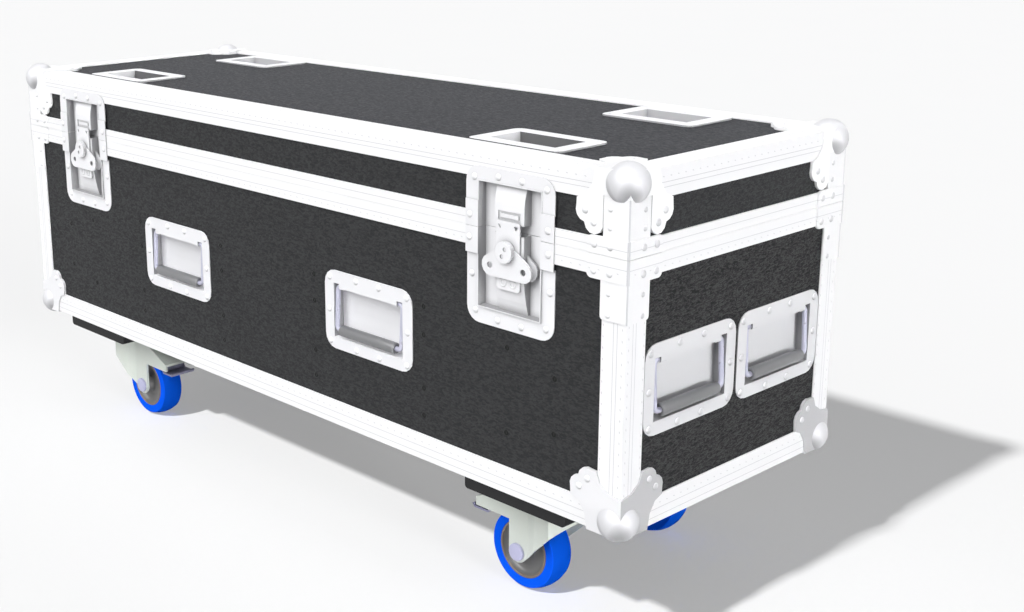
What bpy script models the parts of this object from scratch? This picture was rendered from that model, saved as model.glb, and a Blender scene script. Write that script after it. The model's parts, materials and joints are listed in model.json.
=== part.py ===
"""Long flight case on castors, with a hinged lid.

Metres, +Z up. The origin is on the floor under the middle of the case, X runs along its length and
the latches are on the -Y side. Pieces on a wall are drawn in that wall's own frame: X to the right
as one looks at the wall, Y inwards, Z up, with Y = 0 at the outer face of the edge angles.
"""

import math

import bpy
import bmesh
from mathutils import Matrix, Vector

# Driving dimensions

GAP = 0.0003                # between pieces that touch

LENGTH = 1.180              # case over its edge angles
WIDTH = 0.383
HEIGHT = 0.382
LID_HEIGHT = 0.0859         # from the lid joint to the top of the case
HARDWARE_REACH = 0.0105     # how far latch bosses and hinge knuckles stand out of a wall

ANGLE_WALL = 0.0015         # edge angle
ANGLE_LEG = 0.0312
PLY = 0.0095                # panel thickness

BAND_PROUD = 0.0010         # closing profile stands out past the edge angles
BAND_WALL = 0.0025
BAND_INNER_WALL = 0.0015
BASE_BAND = 0.0214          # visible height below the seam
LID_BAND = 0.0167           # visible height above the seam
BAND_WEB = 0.0100           # solid part beside the seam, over the panel's edge
GROOVE_WIDTH = 0.0040
GROOVE_DEPTH = 0.0060
TONGUE_WIDTH = 0.0022
TONGUE_DEPTH = 0.0040
TONGUE_SIDE_PLAY = 0.0006   # on the outer side; the rest is on the inner side

BRACE_WALL = 0.0015         # angle brace round each corner of the closing profile
BRACE_LEG = 0.0508
BRACE_ROUND = 0.0060
BRACE_LIP = 0.0040          # how far a base brace reaches past the band
LID_BRACE_LIP = 0.0022
COVER_WALL = 0.0012         # folded cover plate on each post
COVER_LEG = 0.0330
BASE_COVER = 0.0410
COVER_ROUND = 0.0040

CORNER_WALL = 0.0016        # ball corner
CORNER_REACH = 0.0430       # along each edge
CORNER_LOBE = 0.0123
LOBE_FAR = 0.0544
LOBE_NEAR = 0.0433
CORNER_WAIST = (0.0655, 0.0315)
CORNER_NOTCH = 0.0255       # where a lid corner makes room for the cover plate
BALL_RADIUS = 0.0220
BALL_INSET = 0.0127
BALL_CUT = 0.0160           # the plates' tip is cut off this far along each edge
CORE_CUT = 0.0260           # and so are the angles and panels behind the ball

BOARD_LENGTH = 0.150        # castor board, along X
BOARD_THICKNESS = 0.015
BOARD_SETBACK = 0.0033
BOARD_ROUND = 0.0040
CASTOR_FROM_END = 0.152     # swivel axes from the case's outer faces
CASTOR_FROM_SIDE = 0.0795

CASTOR_HEIGHT = 0.135       # from the floor to the top of its plate
CASTOR_TRAIL = 0.0395       # from the swivel axis to the wheel's axle
PLATE_X = 0.105
PLATE_Y = 0.085
PLATE_THICKNESS = 0.003
RACE_RADIUS = 0.026
RACE_HEIGHT = 0.004
WHEEL_RADIUS = 0.050
TREAD_HALF = 0.0155
TREAD_ROUND = 0.0040
HUB_RIM_RADIUS = 0.0350
HUB_HALF = 0.0200
AXLE_RADIUS = 0.0060
AXLE_PLAY = 0.0003
FORK_WALL = 0.0035
FORK_SIDE_PLAY = 0.0015
BOLT_RADIUS = 0.0105
BOLT_HEAD = 0.0035
FORK_LEAD = 0.0330          # the fork's front, from the swivel axis
LEAD_SLANT_DROP = 0.0240    # height of the front above the slanting edge
LEG_END_RADIUS = 0.0137
HOOD_FLAT = 0.0400
HOOD_TAIL = 0.1070
HOOD_LOW = 0.0873
HOOD_END_HEIGHT = 0.0107
SPREAD_HALF = 0.0360        # half width beside the swivel, where the sides spread
SPREAD_START = 0.0240
SPREAD_BEND = 0.0080
SPREAD_STEP = 0.0035
SPREAD_END = 0.0170
NOSE_LENGTH = 0.0040
NOSE_SHARE = 0.72
PEDAL_PIVOT = (-0.0860, 0.0910)
PEDAL_PIN_RADIUS = 0.0020
PEDAL_PIN_REACH = 0.0035
PEDAL_HALF = 0.0200
PEDAL_WALL = 0.0025
PEDAL_STEP = 0.0070         # the foot plate, back and down from the pivot
PEDAL_LOW = 0.0085
PEDAL_REACH = 0.0300
PEDAL_TURN_UP = 0.0030

HANDLE_WIDTH = 0.157
HANDLE_HEIGHT = 0.100
HANDLE_ROUND = 0.018
HANDLE_OPENING = 0.1236
HANDLE_TOP = 0.0339         # opening's upper and lower edges from the dish's middle
HANDLE_BOTTOM = 0.0350
HANDLE_DEPTH = 0.0155
DISH_WALL = 0.0012
BAIL_RADIUS = 0.0030
BAIL_HALF = 0.0582          # middle of each arm from the centre
BAIL_DROP = 0.0550          # from the pivot to the middle of the grip
BAIL_LEAN = 0.0030          # the grip stands further out than the pivot
PIVOT_BELOW_TOP = 0.0039
LIP_BELOW_TOP = 0.0054      # lower edge of the lip that hides the pivots
SLEEVE_BELOW_PIVOT = 0.0028 # the sleeves are open below, narrower than the bar
PIVOT_DEPTH = 0.0050
GRIP_RADIUS = 0.0070
GRIP_HALF = 0.0490
LIP_HALF = 0.0520
SLEEVE_LENGTH = 0.0100
HANDLE_Z = 0.150            # from the underside of the case
FRONT_HANDLE_X = 0.2014
SIDE_HANDLE_CLEAR = 0.0011  # from an end wall's dish to the edge angle
SIDE_HANDLE_APART = 0.0044  # between the two dishes of an end wall

LATCH_FROM_END = 0.1576
LATCH_WIDTH = 0.127
LATCH_BELOW = 0.1077        # dish below and above the seam
LATCH_ABOVE = 0.0669
LATCH_ROUND = 0.018
LATCH_OPENING = 0.0896
LATCH_OPEN_BELOW = 0.0875
LATCH_OPEN_ABOVE = 0.0510
LATCH_DEPTH = 0.0101
CRANK_BELOW = 0.0297        # the flange steps out over the band between these
CRANK_ABOVE = 0.0293
STRIP_HALF = 0.0210
STRIP_WALL = 0.0020
BRIDGE_FRONT = -0.0012      # front of the two hollow bulges
KEEPER_START = 0.0107       # from the seam to the keeper's open end
KEEPER_FALL = 0.0047        # how far its front sinks back towards the far end
BRIDGE_START = 0.0010
BRIDGE_FALL = 0.0082
CRANK_LEVEL = -0.0350       # the lower bulge keeps its level down to here
TAB_HALF = 0.0166           # raised tab under the claw
TAB_PROUD = 0.0010
TAB_ROUND = 0.0040
TAB_LOW = -0.0625
TAB_HIGH = -0.0470
EAR_PLATE_DEPTH = 0.0042    # fixed plate behind the butterfly, of the same outline
KEEPER_POCKET = (0.0160, 0.0135, 0.0232)    # half width, lower and upper edge
KEEPER_BAR = (0.0130, 0.0162, 0.0205)       # the same for the bar in the pocket
POCKET_DEPTH = 0.0013
BOSS_BELOW_SEAM = 0.0190
BOSS_RADIUS = 0.0117
SPINDLE_RADIUS = 0.0045
CLAW_WALL = 0.0015
CLAW_HALF = 0.0170
CLAW_TOP = 0.0131
CLAW_CORNER = 0.0025
CLAW_BOTTOM = 0.0410
CLAW_TRAVEL = 0.0060
WING_WALL = 0.0020
WING_WAIST = 0.0085         # the flanks are tangent to this circle about the boss
EAR_RADIUS = 0.0117
EAR_SPREAD = 0.0241
EAR_DROP = 0.0186
EAR_HOLE = 0.0037

CUP_FROM_END = 0.191        # stacking cup centres
CUP_FROM_SIDE = 0.0775
CUP_WIDTH = 0.134
CUP_DEEP = 0.087
CUP_ROUND = 0.010
CUP_FLANGE = 0.0020
CUP_OPEN_X = 0.095
CUP_OPEN_Y = 0.049
CUP_DEPTH = 0.016

HINGE_FROM_END = 0.260
HINGE_WIDTH = 0.060
HINGE_LEAF = 0.0020
HINGE_KNUCKLES = 5
HINGE_PIN = 0.0018
HINGE_PLAY = 0.0003
KNUCKLE_RADIUS = 0.0044

# Levels worked out from those

PANEL_FACE = ANGLE_WALL + GAP
PANEL_BACK = PANEL_FACE + PLY
BAND_BACK = PANEL_BACK + GAP + BAND_INNER_WALL
CASE_BOTTOM = CASTOR_HEIGHT + BOARD_THICKNESS + GAP
CASE_TOP = CASE_BOTTOM + HEIGHT
SEAM = CASE_TOP - LID_HEIGHT
HALF_X = LENGTH / 2
HALF_Y = WIDTH / 2
CASTOR_X = HALF_X - CASTOR_FROM_END
CASTOR_Y = HALF_Y - CASTOR_FROM_SIDE
LATCH_X = HALF_X - LATCH_FROM_END
CUP_X = HALF_X - CUP_FROM_END
CUP_Y = HALF_Y - CUP_FROM_SIDE
HINGE_X = HALF_X - HINGE_FROM_END
SIDE_HANDLE_WIDTH = HALF_Y - ANGLE_LEG - SIDE_HANDLE_CLEAR - SIDE_HANDLE_APART / 2
SIDE_HANDLE_Y = (SIDE_HANDLE_WIDTH + SIDE_HANDLE_APART) / 2
FLANGE_FRONT = PANEL_FACE - GAP - DISH_WALL
BAND_FLANGE_BACK = -BAND_PROUD - GAP
BAND_FLANGE_FRONT = BAND_FLANGE_BACK - DISH_WALL
FORK_HALF = HUB_HALF + FORK_SIDE_PLAY
FORK_TOP = CASTOR_HEIGHT - PLATE_THICKNESS - RACE_HEIGHT - GAP
CUT_OVER = 0.02             # how far a cutter runs past what it cuts


# Tools

def clear_scene():
    for thing in list(bpy.data.objects):
        bpy.data.objects.remove(thing, do_unlink=True)


def add_temporary(data):
    thing = bpy.data.objects.new("temporary", data)
    bpy.context.scene.collection.objects.link(thing)
    return thing


def evaluated_mesh(thing):
    """The mesh of an object with its modifiers done, closed and facing out."""
    depsgraph = bpy.context.evaluated_depsgraph_get()
    mesh = bpy.data.meshes.new_from_object(thing.evaluated_get(depsgraph))
    bm = bmesh.new()
    bm.from_mesh(mesh)
    bmesh.ops.remove_doubles(bm, verts=bm.verts, dist=1e-6)
    bmesh.ops.recalc_face_normals(bm, faces=bm.faces)
    bm.to_mesh(mesh)
    bm.free()
    return mesh


def box(low, high):
    size = Vector(high) - Vector(low)
    middle = (Vector(high) + Vector(low)) / 2
    bm = bmesh.new()
    bmesh.ops.create_cube(bm, size=1.0, matrix=Matrix.LocRotScale(middle, None, size))
    mesh = bpy.data.meshes.new("box")
    bm.to_mesh(mesh)
    bm.free()
    return mesh


def rod(start, end, radius, sides=16):
    """Cylinder between two points."""
    direction = Vector(end) - Vector(start)
    turn = Vector((0, 0, 1)).rotation_difference(direction)
    place = Matrix.LocRotScale((Vector(start) + Vector(end)) / 2, turn, None)
    bm = bmesh.new()
    bmesh.ops.create_cone(bm, cap_ends=True, segments=sides, radius1=radius, radius2=radius,
                          depth=direction.length, matrix=place)
    mesh = bpy.data.meshes.new("rod")
    bm.to_mesh(mesh)
    bm.free()
    return mesh


def turned(profile, sides, closed, turn):
    """Screw a profile of (radius, height) points about Z, then turn the result."""
    mesh = bpy.data.meshes.new("profile")
    count = len(profile)
    edges = [(i, (i + 1) % count) for i in range(count if closed else count - 1)]
    mesh.from_pydata([(r, 0, h) for r, h in profile], edges, [])
    thing = add_temporary(mesh)
    screw = thing.modifiers.new("turn", "SCREW")
    screw.axis = "Z"
    screw.angle = math.tau
    screw.steps = sides
    screw.render_steps = sides
    screw.use_merge_vertices = True
    screw.merge_threshold = 0.00001
    result = evaluated_mesh(thing)
    bpy.data.objects.remove(thing, do_unlink=True)
    result.transform(turn)
    return result


def plate(points, thickness):
    """Flat outline in XY, centred on Z = 0."""
    curve = bpy.data.curves.new("outline", "CURVE")
    curve.dimensions = "2D"
    curve.fill_mode = "BOTH"
    curve.extrude = thickness / 2
    spline = curve.splines.new("POLY")
    spline.points.add(len(points) - 1)
    for point, (x, y) in zip(spline.points, points):
        point.co = (x, y, 0, 1)
    spline.use_cyclic_u = True
    thing = add_temporary(curve)
    mesh = evaluated_mesh(thing)
    bpy.data.objects.remove(thing, do_unlink=True)
    return mesh


def wall_plate(points, front, back):
    """Outline in a wall's X and Z, between two depths."""
    mesh = plate(points, back - front)
    mesh.transform(Matrix.Translation((0, (front + back) / 2, 0)) @ Matrix.Rotation(math.pi / 2, 4, "X"))
    return mesh


def side_profile(points, left, right):
    """Outline given as (depth, height), drawn out along X."""
    mesh = plate(points, right - left)
    stand = Matrix(((0, 0, 1, (left + right) / 2), (1, 0, 0, 0), (0, 1, 0, 0), (0, 0, 0, 1)))
    mesh.transform(stand)
    return mesh


def tube(points, radius):
    """Round bar along points, with filled caps."""
    curve = bpy.data.curves.new("bar", "CURVE")
    curve.dimensions = "3D"
    curve.bevel_depth = radius
    curve.bevel_resolution = 2
    curve.use_fill_caps = True
    spline = curve.splines.new("POLY")
    spline.points.add(len(points) - 1)
    for point, place in zip(spline.points, points):
        point.co = (*place, 1)
    thing = add_temporary(curve)
    mesh = evaluated_mesh(thing)
    bpy.data.objects.remove(thing, do_unlink=True)
    return mesh


def ring(profile, half_x, half_y):
    """Profile of (outward, z) points carried round a rectangle, with mitred corners."""
    bm = bmesh.new()
    loops = []
    for sx, sy in ((1, 1), (-1, 1), (-1, -1), (1, -1)):
        loops.append([bm.verts.new((sx * (half_x + out), sy * (half_y + out), z)) for out, z in profile])
    count = len(profile)
    for k in range(4):
        here = loops[k]
        there = loops[(k + 1) % 4]
        for i in range(count):
            j = (i + 1) % count
            bm.faces.new((here[i], here[j], there[j], there[i]))
    bmesh.ops.recalc_face_normals(bm, faces=bm.faces)
    mesh = bpy.data.meshes.new("ring")
    bm.to_mesh(mesh)
    bm.free()
    return mesh


def combine(mesh, others, operation):
    """Exact Boolean of a mesh with each of the others in turn."""
    target = add_temporary(mesh)
    tools = []
    for other in others:
        tool = add_temporary(other)
        tools.append(tool)
        modifier = target.modifiers.new("with_tool", "BOOLEAN")
        modifier.operation = operation
        modifier.solver = "EXACT"
        modifier.object = tool
    result = evaluated_mesh(target)
    for thing in [target] + tools:
        bpy.data.objects.remove(thing, do_unlink=True)
    return result


def join(mesh, *others):
    return combine(mesh, others, "UNION")


def cut(mesh, *others):
    return combine(mesh, others, "DIFFERENCE")


def moved(mesh, matrix):
    """A copy of a mesh, transformed; a mirrored copy keeps its faces outwards."""
    copy = mesh.copy()
    copy.transform(matrix)
    if matrix.determinant() < 0:
        copy.flip_normals()
    return copy


def arc(centre, radius, start, end, steps):
    """Points on an arc, angles in degrees."""
    points = []
    for k in range(steps + 1):
        angle = math.radians(start + (end - start) * k / steps)
        points.append((centre[0] + radius * math.cos(angle), centre[1] + radius * math.sin(angle)))
    return points


def rounded(left, right, bottom, top, lower_round, upper_round=0.0, steps=5):
    """Rectangle outline with its lower and upper corners rounded."""
    points = arc((right - lower_round, bottom + lower_round), lower_round, -90, 0, steps)
    if upper_round:
        points += arc((right - upper_round, top - upper_round), upper_round, 0, 90, steps)
        points += arc((left + upper_round, top - upper_round), upper_round, 90, 180, steps)
    else:
        points += [(right, top), (left, top)]
    points += arc((left + lower_round, bottom + lower_round), lower_round, 180, 270, steps)
    return points


FINISHES = {
    "black": ((0.030, 0.031, 0.033), 0.75, 0.0),
    "aluminium": ((0.86, 0.86, 0.87), 0.38, 0.9),
    "steel": ((0.80, 0.81, 0.83), 0.32, 0.9),
    "fork": ((0.62, 0.64, 0.58), 0.45, 0.6),
    "wheel": ((0.005, 0.06, 0.85), 0.45, 0.0),
    "bail": ((0.42, 0.42, 0.55), 0.35, 0.8),
}


def finish(name, kind):
    colour, roughness, metallic = FINISHES[kind]
    material = bpy.data.materials.new(name + "_finish")
    material.use_nodes = True
    shader = material.node_tree.nodes["Principled BSDF"]
    shader.inputs["Base Color"].default_value = (*colour, 1)
    shader.inputs["Roughness"].default_value = roughness
    shader.inputs["Metallic"].default_value = metallic
    return material


def add_piece(name, mesh, kind, matrix=None, smooth=False):
    """Put a finished mesh into the case as one named piece."""
    mesh = mesh.copy()
    mesh.name = name
    mesh.materials.clear()
    mesh.materials.append(finish(name, kind))
    if smooth:
        mesh.shade_smooth()
        mesh.set_sharp_from_angle(angle=math.radians(35))
    piece = bpy.data.objects.new(name, mesh)
    CASE.objects.link(piece)
    if matrix is not None:
        piece.matrix_world = matrix
    return piece


def wall_frame(wall, along, height):
    """Place of a wall's own frame: along runs to the right as one looks at the wall."""
    walls = {"front": (0, HALF_Y), "right": (90, HALF_X), "rear": (180, HALF_Y), "left": (-90, HALF_X)}
    angle, reach = walls[wall]
    turn = Matrix.Rotation(math.radians(angle), 4, "Z")
    return turn @ Matrix.Translation((along, -reach, height))


# Openings that panels and profiles leave for the dishes

def handle_void():
    half = HANDLE_OPENING / 2 + DISH_WALL + GAP
    return box((-half, -CUT_OVER, -HANDLE_BOTTOM - DISH_WALL - GAP),
               (half, CUT_OVER, HANDLE_TOP + DISH_WALL + GAP))


def latch_void(deep):
    half = LATCH_OPENING / 2 + DISH_WALL + GAP
    low = -LATCH_OPEN_BELOW - DISH_WALL - GAP
    return box((-half, -CUT_OVER, low), (half, deep, LATCH_OPEN_ABOVE + DISH_WALL + GAP))


def cup_void():
    half_x = CUP_OPEN_X / 2 + DISH_WALL + GAP
    half_y = CUP_OPEN_Y / 2 + DISH_WALL + GAP
    return box((-half_x, -half_y, -2 * CUT_OVER), (half_x, half_y, CUT_OVER))


def corner_places(top):
    """Matrices that take a corner drawn at the origin, opening to +X +Y +Z, to the case's corners."""
    height = CASE_TOP if top else CASE_BOTTOM
    places = []
    for sx in (-1, 1):
        for sy in (-1, 1):
            mirror = Matrix.Diagonal((-sx, -sy, -1 if top else 1, 1))
            places.append((sx, sy, Matrix.Translation((sx * HALF_X, sy * HALF_Y, height)) @ mirror))
    return places


def corner_block(reach):
    """Everything within a plane that meets the three edges this far from the corner."""
    side = 0.2
    diagonal = Vector((1, 1, 1)).normalized()
    turn = Vector((0, 0, 1)).rotation_difference(diagonal)
    middle = diagonal * (reach / math.sqrt(3) - side / 2)
    mesh = box((-side / 2, -side / 2, -side / 2), (side / 2, side / 2, side / 2))
    mesh.transform(Matrix.LocRotScale(middle, turn, None))
    return mesh


def corner_cuts(top):
    block = corner_block(CORE_CUT)
    return [moved(block, place) for _, _, place in corner_places(top)]


# Box of the base and of the lid

def add_panel(name, low, high, voids):
    add_piece(name, cut(box(low, high), *voids), "black")


def make_base_panels():
    side = HALF_X - PANEL_FACE
    end = HALF_Y - PANEL_FACE
    inner = end - PLY - GAP
    floor_top = CASE_BOTTOM + PANEL_BACK
    low = floor_top + GAP
    high = SEAM - BAND_WEB - GAP
    cuts = corner_cuts(False)
    add_panel("base_floor_panel", (-side, -end, CASE_BOTTOM + PANEL_FACE), (side, end, floor_top), cuts)
    level = CASE_BOTTOM + HANDLE_Z
    front_voids = [moved(handle_void(), wall_frame("front", x, level))
                   for x in (-FRONT_HANDLE_X, FRONT_HANDLE_X)]
    front_voids += [moved(latch_void(CUT_OVER), wall_frame("front", x, SEAM)) for x in (-LATCH_X, LATCH_X)]
    add_panel("base_front_panel", (-side, -end, low), (side, -end + PLY, high), cuts + front_voids)
    add_panel("base_rear_panel", (-side, end - PLY, low), (side, end, high), cuts)
    for wall, near in (("left", -side), ("right", side - PLY)):
        voids = [moved(handle_void(), wall_frame(wall, y, level)) for y in (-SIDE_HANDLE_Y, SIDE_HANDLE_Y)]
        add_panel("base_" + wall + "_panel", (near, -inner, low), (near + PLY, inner, high), cuts + voids)


def make_lid_panels():
    """The lid's top board, and its four side boards as one ring under it."""
    side = HALF_X - PANEL_FACE
    end = HALF_Y - PANEL_FACE
    under = CASE_TOP - PANEL_BACK
    low = SEAM + BAND_WEB + GAP
    cuts = corner_cuts(True)
    cup_voids = []
    for x in (-CUP_X, CUP_X):
        for y in (-CUP_Y, CUP_Y):
            cup_voids.append(moved(cup_void(), Matrix.Translation((x, y, CASE_TOP))))
    add_panel("lid_top_panel", (-side, -end, under), (side, end, CASE_TOP - PANEL_FACE), cuts + cup_voids)
    hollow = box((-side + PLY, -end + PLY, low - CUT_OVER), (side - PLY, end - PLY, under + CUT_OVER))
    latches = [moved(latch_void(CUT_OVER), wall_frame("front", x, SEAM)) for x in (-LATCH_X, LATCH_X)]
    voids = [hollow] + latches
    add_panel("lid_side_panels", (-side, -end, low), (side, end, under - GAP), cuts + voids)


def angle_outline(leg, wall, out=0.0):
    """L of two legs along +X and +Y; its outer faces lie a little outside the axes."""
    inside = wall - out
    return [(-out, -out), (leg, -out), (leg, inside), (inside, inside), (inside, leg), (-out, leg)]


def rounded_leg(leg, low, high, lower_round, upper_round):
    """Everything within one leg's outline, whose free corners are rounded."""
    if lower_round:
        right = arc((leg - lower_round, low + lower_round), lower_round, -90, 0, 4)
    else:
        right = [(leg, low)]
    if upper_round:
        right += arc((leg - upper_round, high - upper_round), upper_round, 0, 90, 4)
    else:
        right.append((leg, high))
    points = [(-CUT_OVER, low)] + right + [(-CUT_OVER, high)]
    return wall_plate(points, -CUT_OVER, leg + CUT_OVER)


def corner_angle(outline, low, high, lower_round=0.0, upper_round=0.0):
    """Vertical angle between two levels, at the origin, with its legs along +X and +Y."""
    mesh = moved(plate(outline, high - low), Matrix.Translation((0, 0, (low + high) / 2)))
    leg = max(x for x, _ in outline)
    limit = rounded_leg(leg, low, high, lower_round, upper_round)
    swap = Matrix(((0, 1, 0, 0), (1, 0, 0, 0), (0, 0, 1, 0), (0, 0, 0, 1)))
    return combine(mesh, [limit, moved(limit, swap)], "INTERSECT")


def at_upright_edges(mesh):
    """Copies of a corner angle at the case's four upright edges."""
    places = [Matrix.Translation((sx * HALF_X, sy * HALF_Y, 0)) @ Matrix.Diagonal((-sx, -sy, 1, 1))
              for sx in (-1, 1) for sy in (-1, 1)]
    return [moved(mesh, place) for place in places]


def make_edge_frame(name, top):
    """Edge angles round the floor or the lid's top, with the four posts."""
    into = -1 if top else 1
    level = CASE_TOP if top else CASE_BOTTOM
    end = SEAM + LID_BAND + GAP if top else SEAM - BASE_BAND - GAP

    def block(inset_x, inset_y, from_level, to_level):
        low, high = sorted((level + into * from_level, to_level))
        return box((inset_x - HALF_X, inset_y - HALF_Y, low), (HALF_X - inset_x, HALF_Y - inset_y, high))

    past = end + into * CUT_OVER
    outside = level - into * CUT_OVER
    shell = block(0, 0, 0, end)
    pocket = block(ANGLE_WALL, ANGLE_WALL, ANGLE_WALL, past)
    windows = [block(ANGLE_LEG, -CUT_OVER, ANGLE_LEG, past), block(-CUT_OVER, ANGLE_LEG, ANGLE_LEG, past),
               block(ANGLE_LEG, ANGLE_LEG, ANGLE_WALL * 2, outside)]
    add_piece(name, cut(shell, pocket, *windows, *corner_cuts(top)), "aluminium")


def make_base_closing_frame():
    outer = BAND_PROUD
    groove_out = BAND_PROUD - BAND_WALL
    groove_in = groove_out - GROOVE_WIDTH
    leg_low = SEAM - BASE_BAND
    web_low = SEAM - BAND_WEB
    profile = [(outer, leg_low), (outer, SEAM), (groove_out, SEAM), (groove_out, SEAM - GROOVE_DEPTH),
               (groove_in, SEAM - GROOVE_DEPTH), (groove_in, SEAM), (-BAND_BACK, SEAM),
               (-BAND_BACK, leg_low), (-BAND_BACK + BAND_INNER_WALL, leg_low),
               (-BAND_BACK + BAND_INNER_WALL, web_low), (groove_out, web_low), (groove_out, leg_low)]
    frame = ring(profile, HALF_X, HALF_Y)
    brace_out = BAND_PROUD + BRACE_WALL
    brace_low = leg_low - BRACE_LIP
    brace = angle_outline(BRACE_LEG, brace_out - GAP, brace_out)
    cover = angle_outline(COVER_LEG, COVER_WALL, COVER_WALL + GAP)
    added = at_upright_edges(corner_angle(brace, brace_low, SEAM - GAP / 2, BRACE_ROUND, 0.0))
    covers = corner_angle(cover, brace_low - BASE_COVER, brace_low + BRACE_LIP, COVER_ROUND, 0.0)
    added += at_upright_edges(covers)
    voids = [moved(latch_void(PANEL_BACK + GAP), wall_frame("front", x, SEAM)) for x in (-LATCH_X, LATCH_X)]
    add_piece("base_closing_frame", cut(join(frame, *added), *voids), "aluminium")


def make_lid_closing_frame():
    outer = BAND_PROUD
    inside = BAND_PROUD - BAND_WALL
    low = SEAM + GAP
    top = SEAM + LID_BAND
    tongue_out = inside - TONGUE_SIDE_PLAY
    tongue_in = tongue_out - TONGUE_WIDTH
    tip = low - TONGUE_DEPTH
    web_top = SEAM + BAND_WEB
    profile = [(outer, top), (outer, low), (tongue_out, low), (tongue_out, tip), (tongue_in, tip),
               (tongue_in, low), (-BAND_BACK, low), (-BAND_BACK, top), (-BAND_BACK + BAND_INNER_WALL, top),
               (-BAND_BACK + BAND_INNER_WALL, web_top), (inside, web_top), (inside, top)]
    frame = ring(profile, HALF_X, HALF_Y)
    brace_out = BAND_PROUD + BRACE_WALL
    brace_top = top + LID_BRACE_LIP
    cover_top = CASE_TOP - CORNER_NOTCH - GAP
    brace = angle_outline(BRACE_LEG, brace_out - GAP, brace_out)
    cover = angle_outline(ANGLE_LEG, COVER_WALL, COVER_WALL + GAP)
    added = at_upright_edges(corner_angle(brace, low + GAP / 2, brace_top, 0.0, BRACE_ROUND))
    added += at_upright_edges(corner_angle(cover, brace_top - LID_BRACE_LIP, cover_top))
    balls = [moved(ball_mesh(BALL_RADIUS + 2 * GAP), place) for _, _, place in corner_places(True)]
    latches = [moved(latch_void(PANEL_BACK + GAP), wall_frame("front", x, SEAM)) for x in (-LATCH_X, LATCH_X)]
    voids = balls + latches
    add_piece("lid_closing_frame", cut(join(frame, *added), *voids), "aluminium")


# Ball corners

def corner_half(reach_out):
    """One half of a corner plate's outline: from its edge to the cusp between its two lobes."""
    waist_x, waist_y = CORNER_WAIST
    points = []
    for k in range(4):
        turn = math.radians(90 * k / 3)
        x = CORNER_REACH + (waist_x - CORNER_REACH) * (1 - math.cos(turn))
        points.append((x, -reach_out + (waist_y + reach_out) * math.sin(turn)))
    spread = (LOBE_FAR - LOBE_NEAR) / 2
    rise = math.sqrt((CORNER_LOBE ** 2 - 2 * spread ** 2) / 2)
    cusp = math.degrees(math.atan2(rise + spread, rise - spread))
    return points + arc((LOBE_FAR, LOBE_NEAR), CORNER_LOBE, -20, cusp, 4)


def corner_outline(reach_out, notched):
    """Whole outline of one plate; the +Y side is cut square where it is notched."""
    half = corner_half(reach_out)
    if notched:
        notch_x = ANGLE_LEG + 2 * GAP
        edge = math.degrees(math.acos((notch_x - LOBE_NEAR) / CORNER_LOBE))
        start = math.degrees(math.atan2(half[-1][1] - LOBE_FAR, half[-1][0] - LOBE_NEAR))
        other = arc((LOBE_NEAR, LOBE_FAR), CORNER_LOBE, start, edge, 5)[1:]
        notch = [(notch_x, CORNER_NOTCH), (-reach_out, CORNER_NOTCH)]
        return [(-reach_out, -reach_out)] + half + other + notch
    other = [(y, x) for x, y in reversed(half)]
    return [(-reach_out, -reach_out)] + half + other[1:]


def ball_mesh(radius):
    """The ball of a corner drawn at the origin."""
    bm = bmesh.new()
    bmesh.ops.create_uvsphere(bm, u_segments=16, v_segments=8, radius=radius,
                              matrix=Matrix.Translation((BALL_INSET,) * 3))
    ball = bpy.data.meshes.new("ball")
    bm.to_mesh(ball)
    bm.free()
    return ball


def make_ball_corner(top):
    """Three lobed plates and the ball, hollow towards the case's corner."""
    out = CORNER_WALL + GAP
    inner = PANEL_FACE - GAP
    thickness = out + inner
    inward = Matrix.Translation((0, 0, inner - thickness / 2))
    flat = moved(plate(corner_outline(out, False), thickness), inward)
    upright = plate(corner_outline(out, top), thickness)
    upright = moved(upright, inward)
    along_x = Matrix(((1, 0, 0, 0), (0, 0, 1, 0), (0, 1, 0, 0), (0, 0, 0, 1)))
    along_y = Matrix(((0, 0, 1, 0), (1, 0, 0, 0), (0, 1, 0, 0), (0, 0, 0, 1)))
    plates = join(flat, moved(upright, along_x), moved(upright, along_y))
    plates = cut(plates, corner_block(BALL_CUT))
    ball = ball_mesh(BALL_RADIUS)
    reach = ANGLE_LEG + GAP
    far = 0.2
    core = box((-GAP, -GAP, -GAP), (far, far, far))
    core = cut(core, box((reach, reach, -CUT_OVER), (far * 2, far * 2, inner)),
               box((reach, -CUT_OVER, reach), (far * 2, inner, far * 2)),
               box((-CUT_OVER, reach, reach), (inner, far * 2, far * 2)),
               corner_block(CORE_CUT - GAP * math.sqrt(3)))
    return cut(join(plates, ball), core)


def make_ball_corners():
    for top in (False, True):
        mesh = make_ball_corner(top)
        for sx, sy, place in corner_places(top):
            name = "_".join(("lid" if top else "base", "ball_corner", "front" if sy < 0 else "rear",
                             "left" if sx < 0 else "right"))
            add_piece(name, moved(mesh, place), "steel", smooth=True)


# Recessed handles

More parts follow.
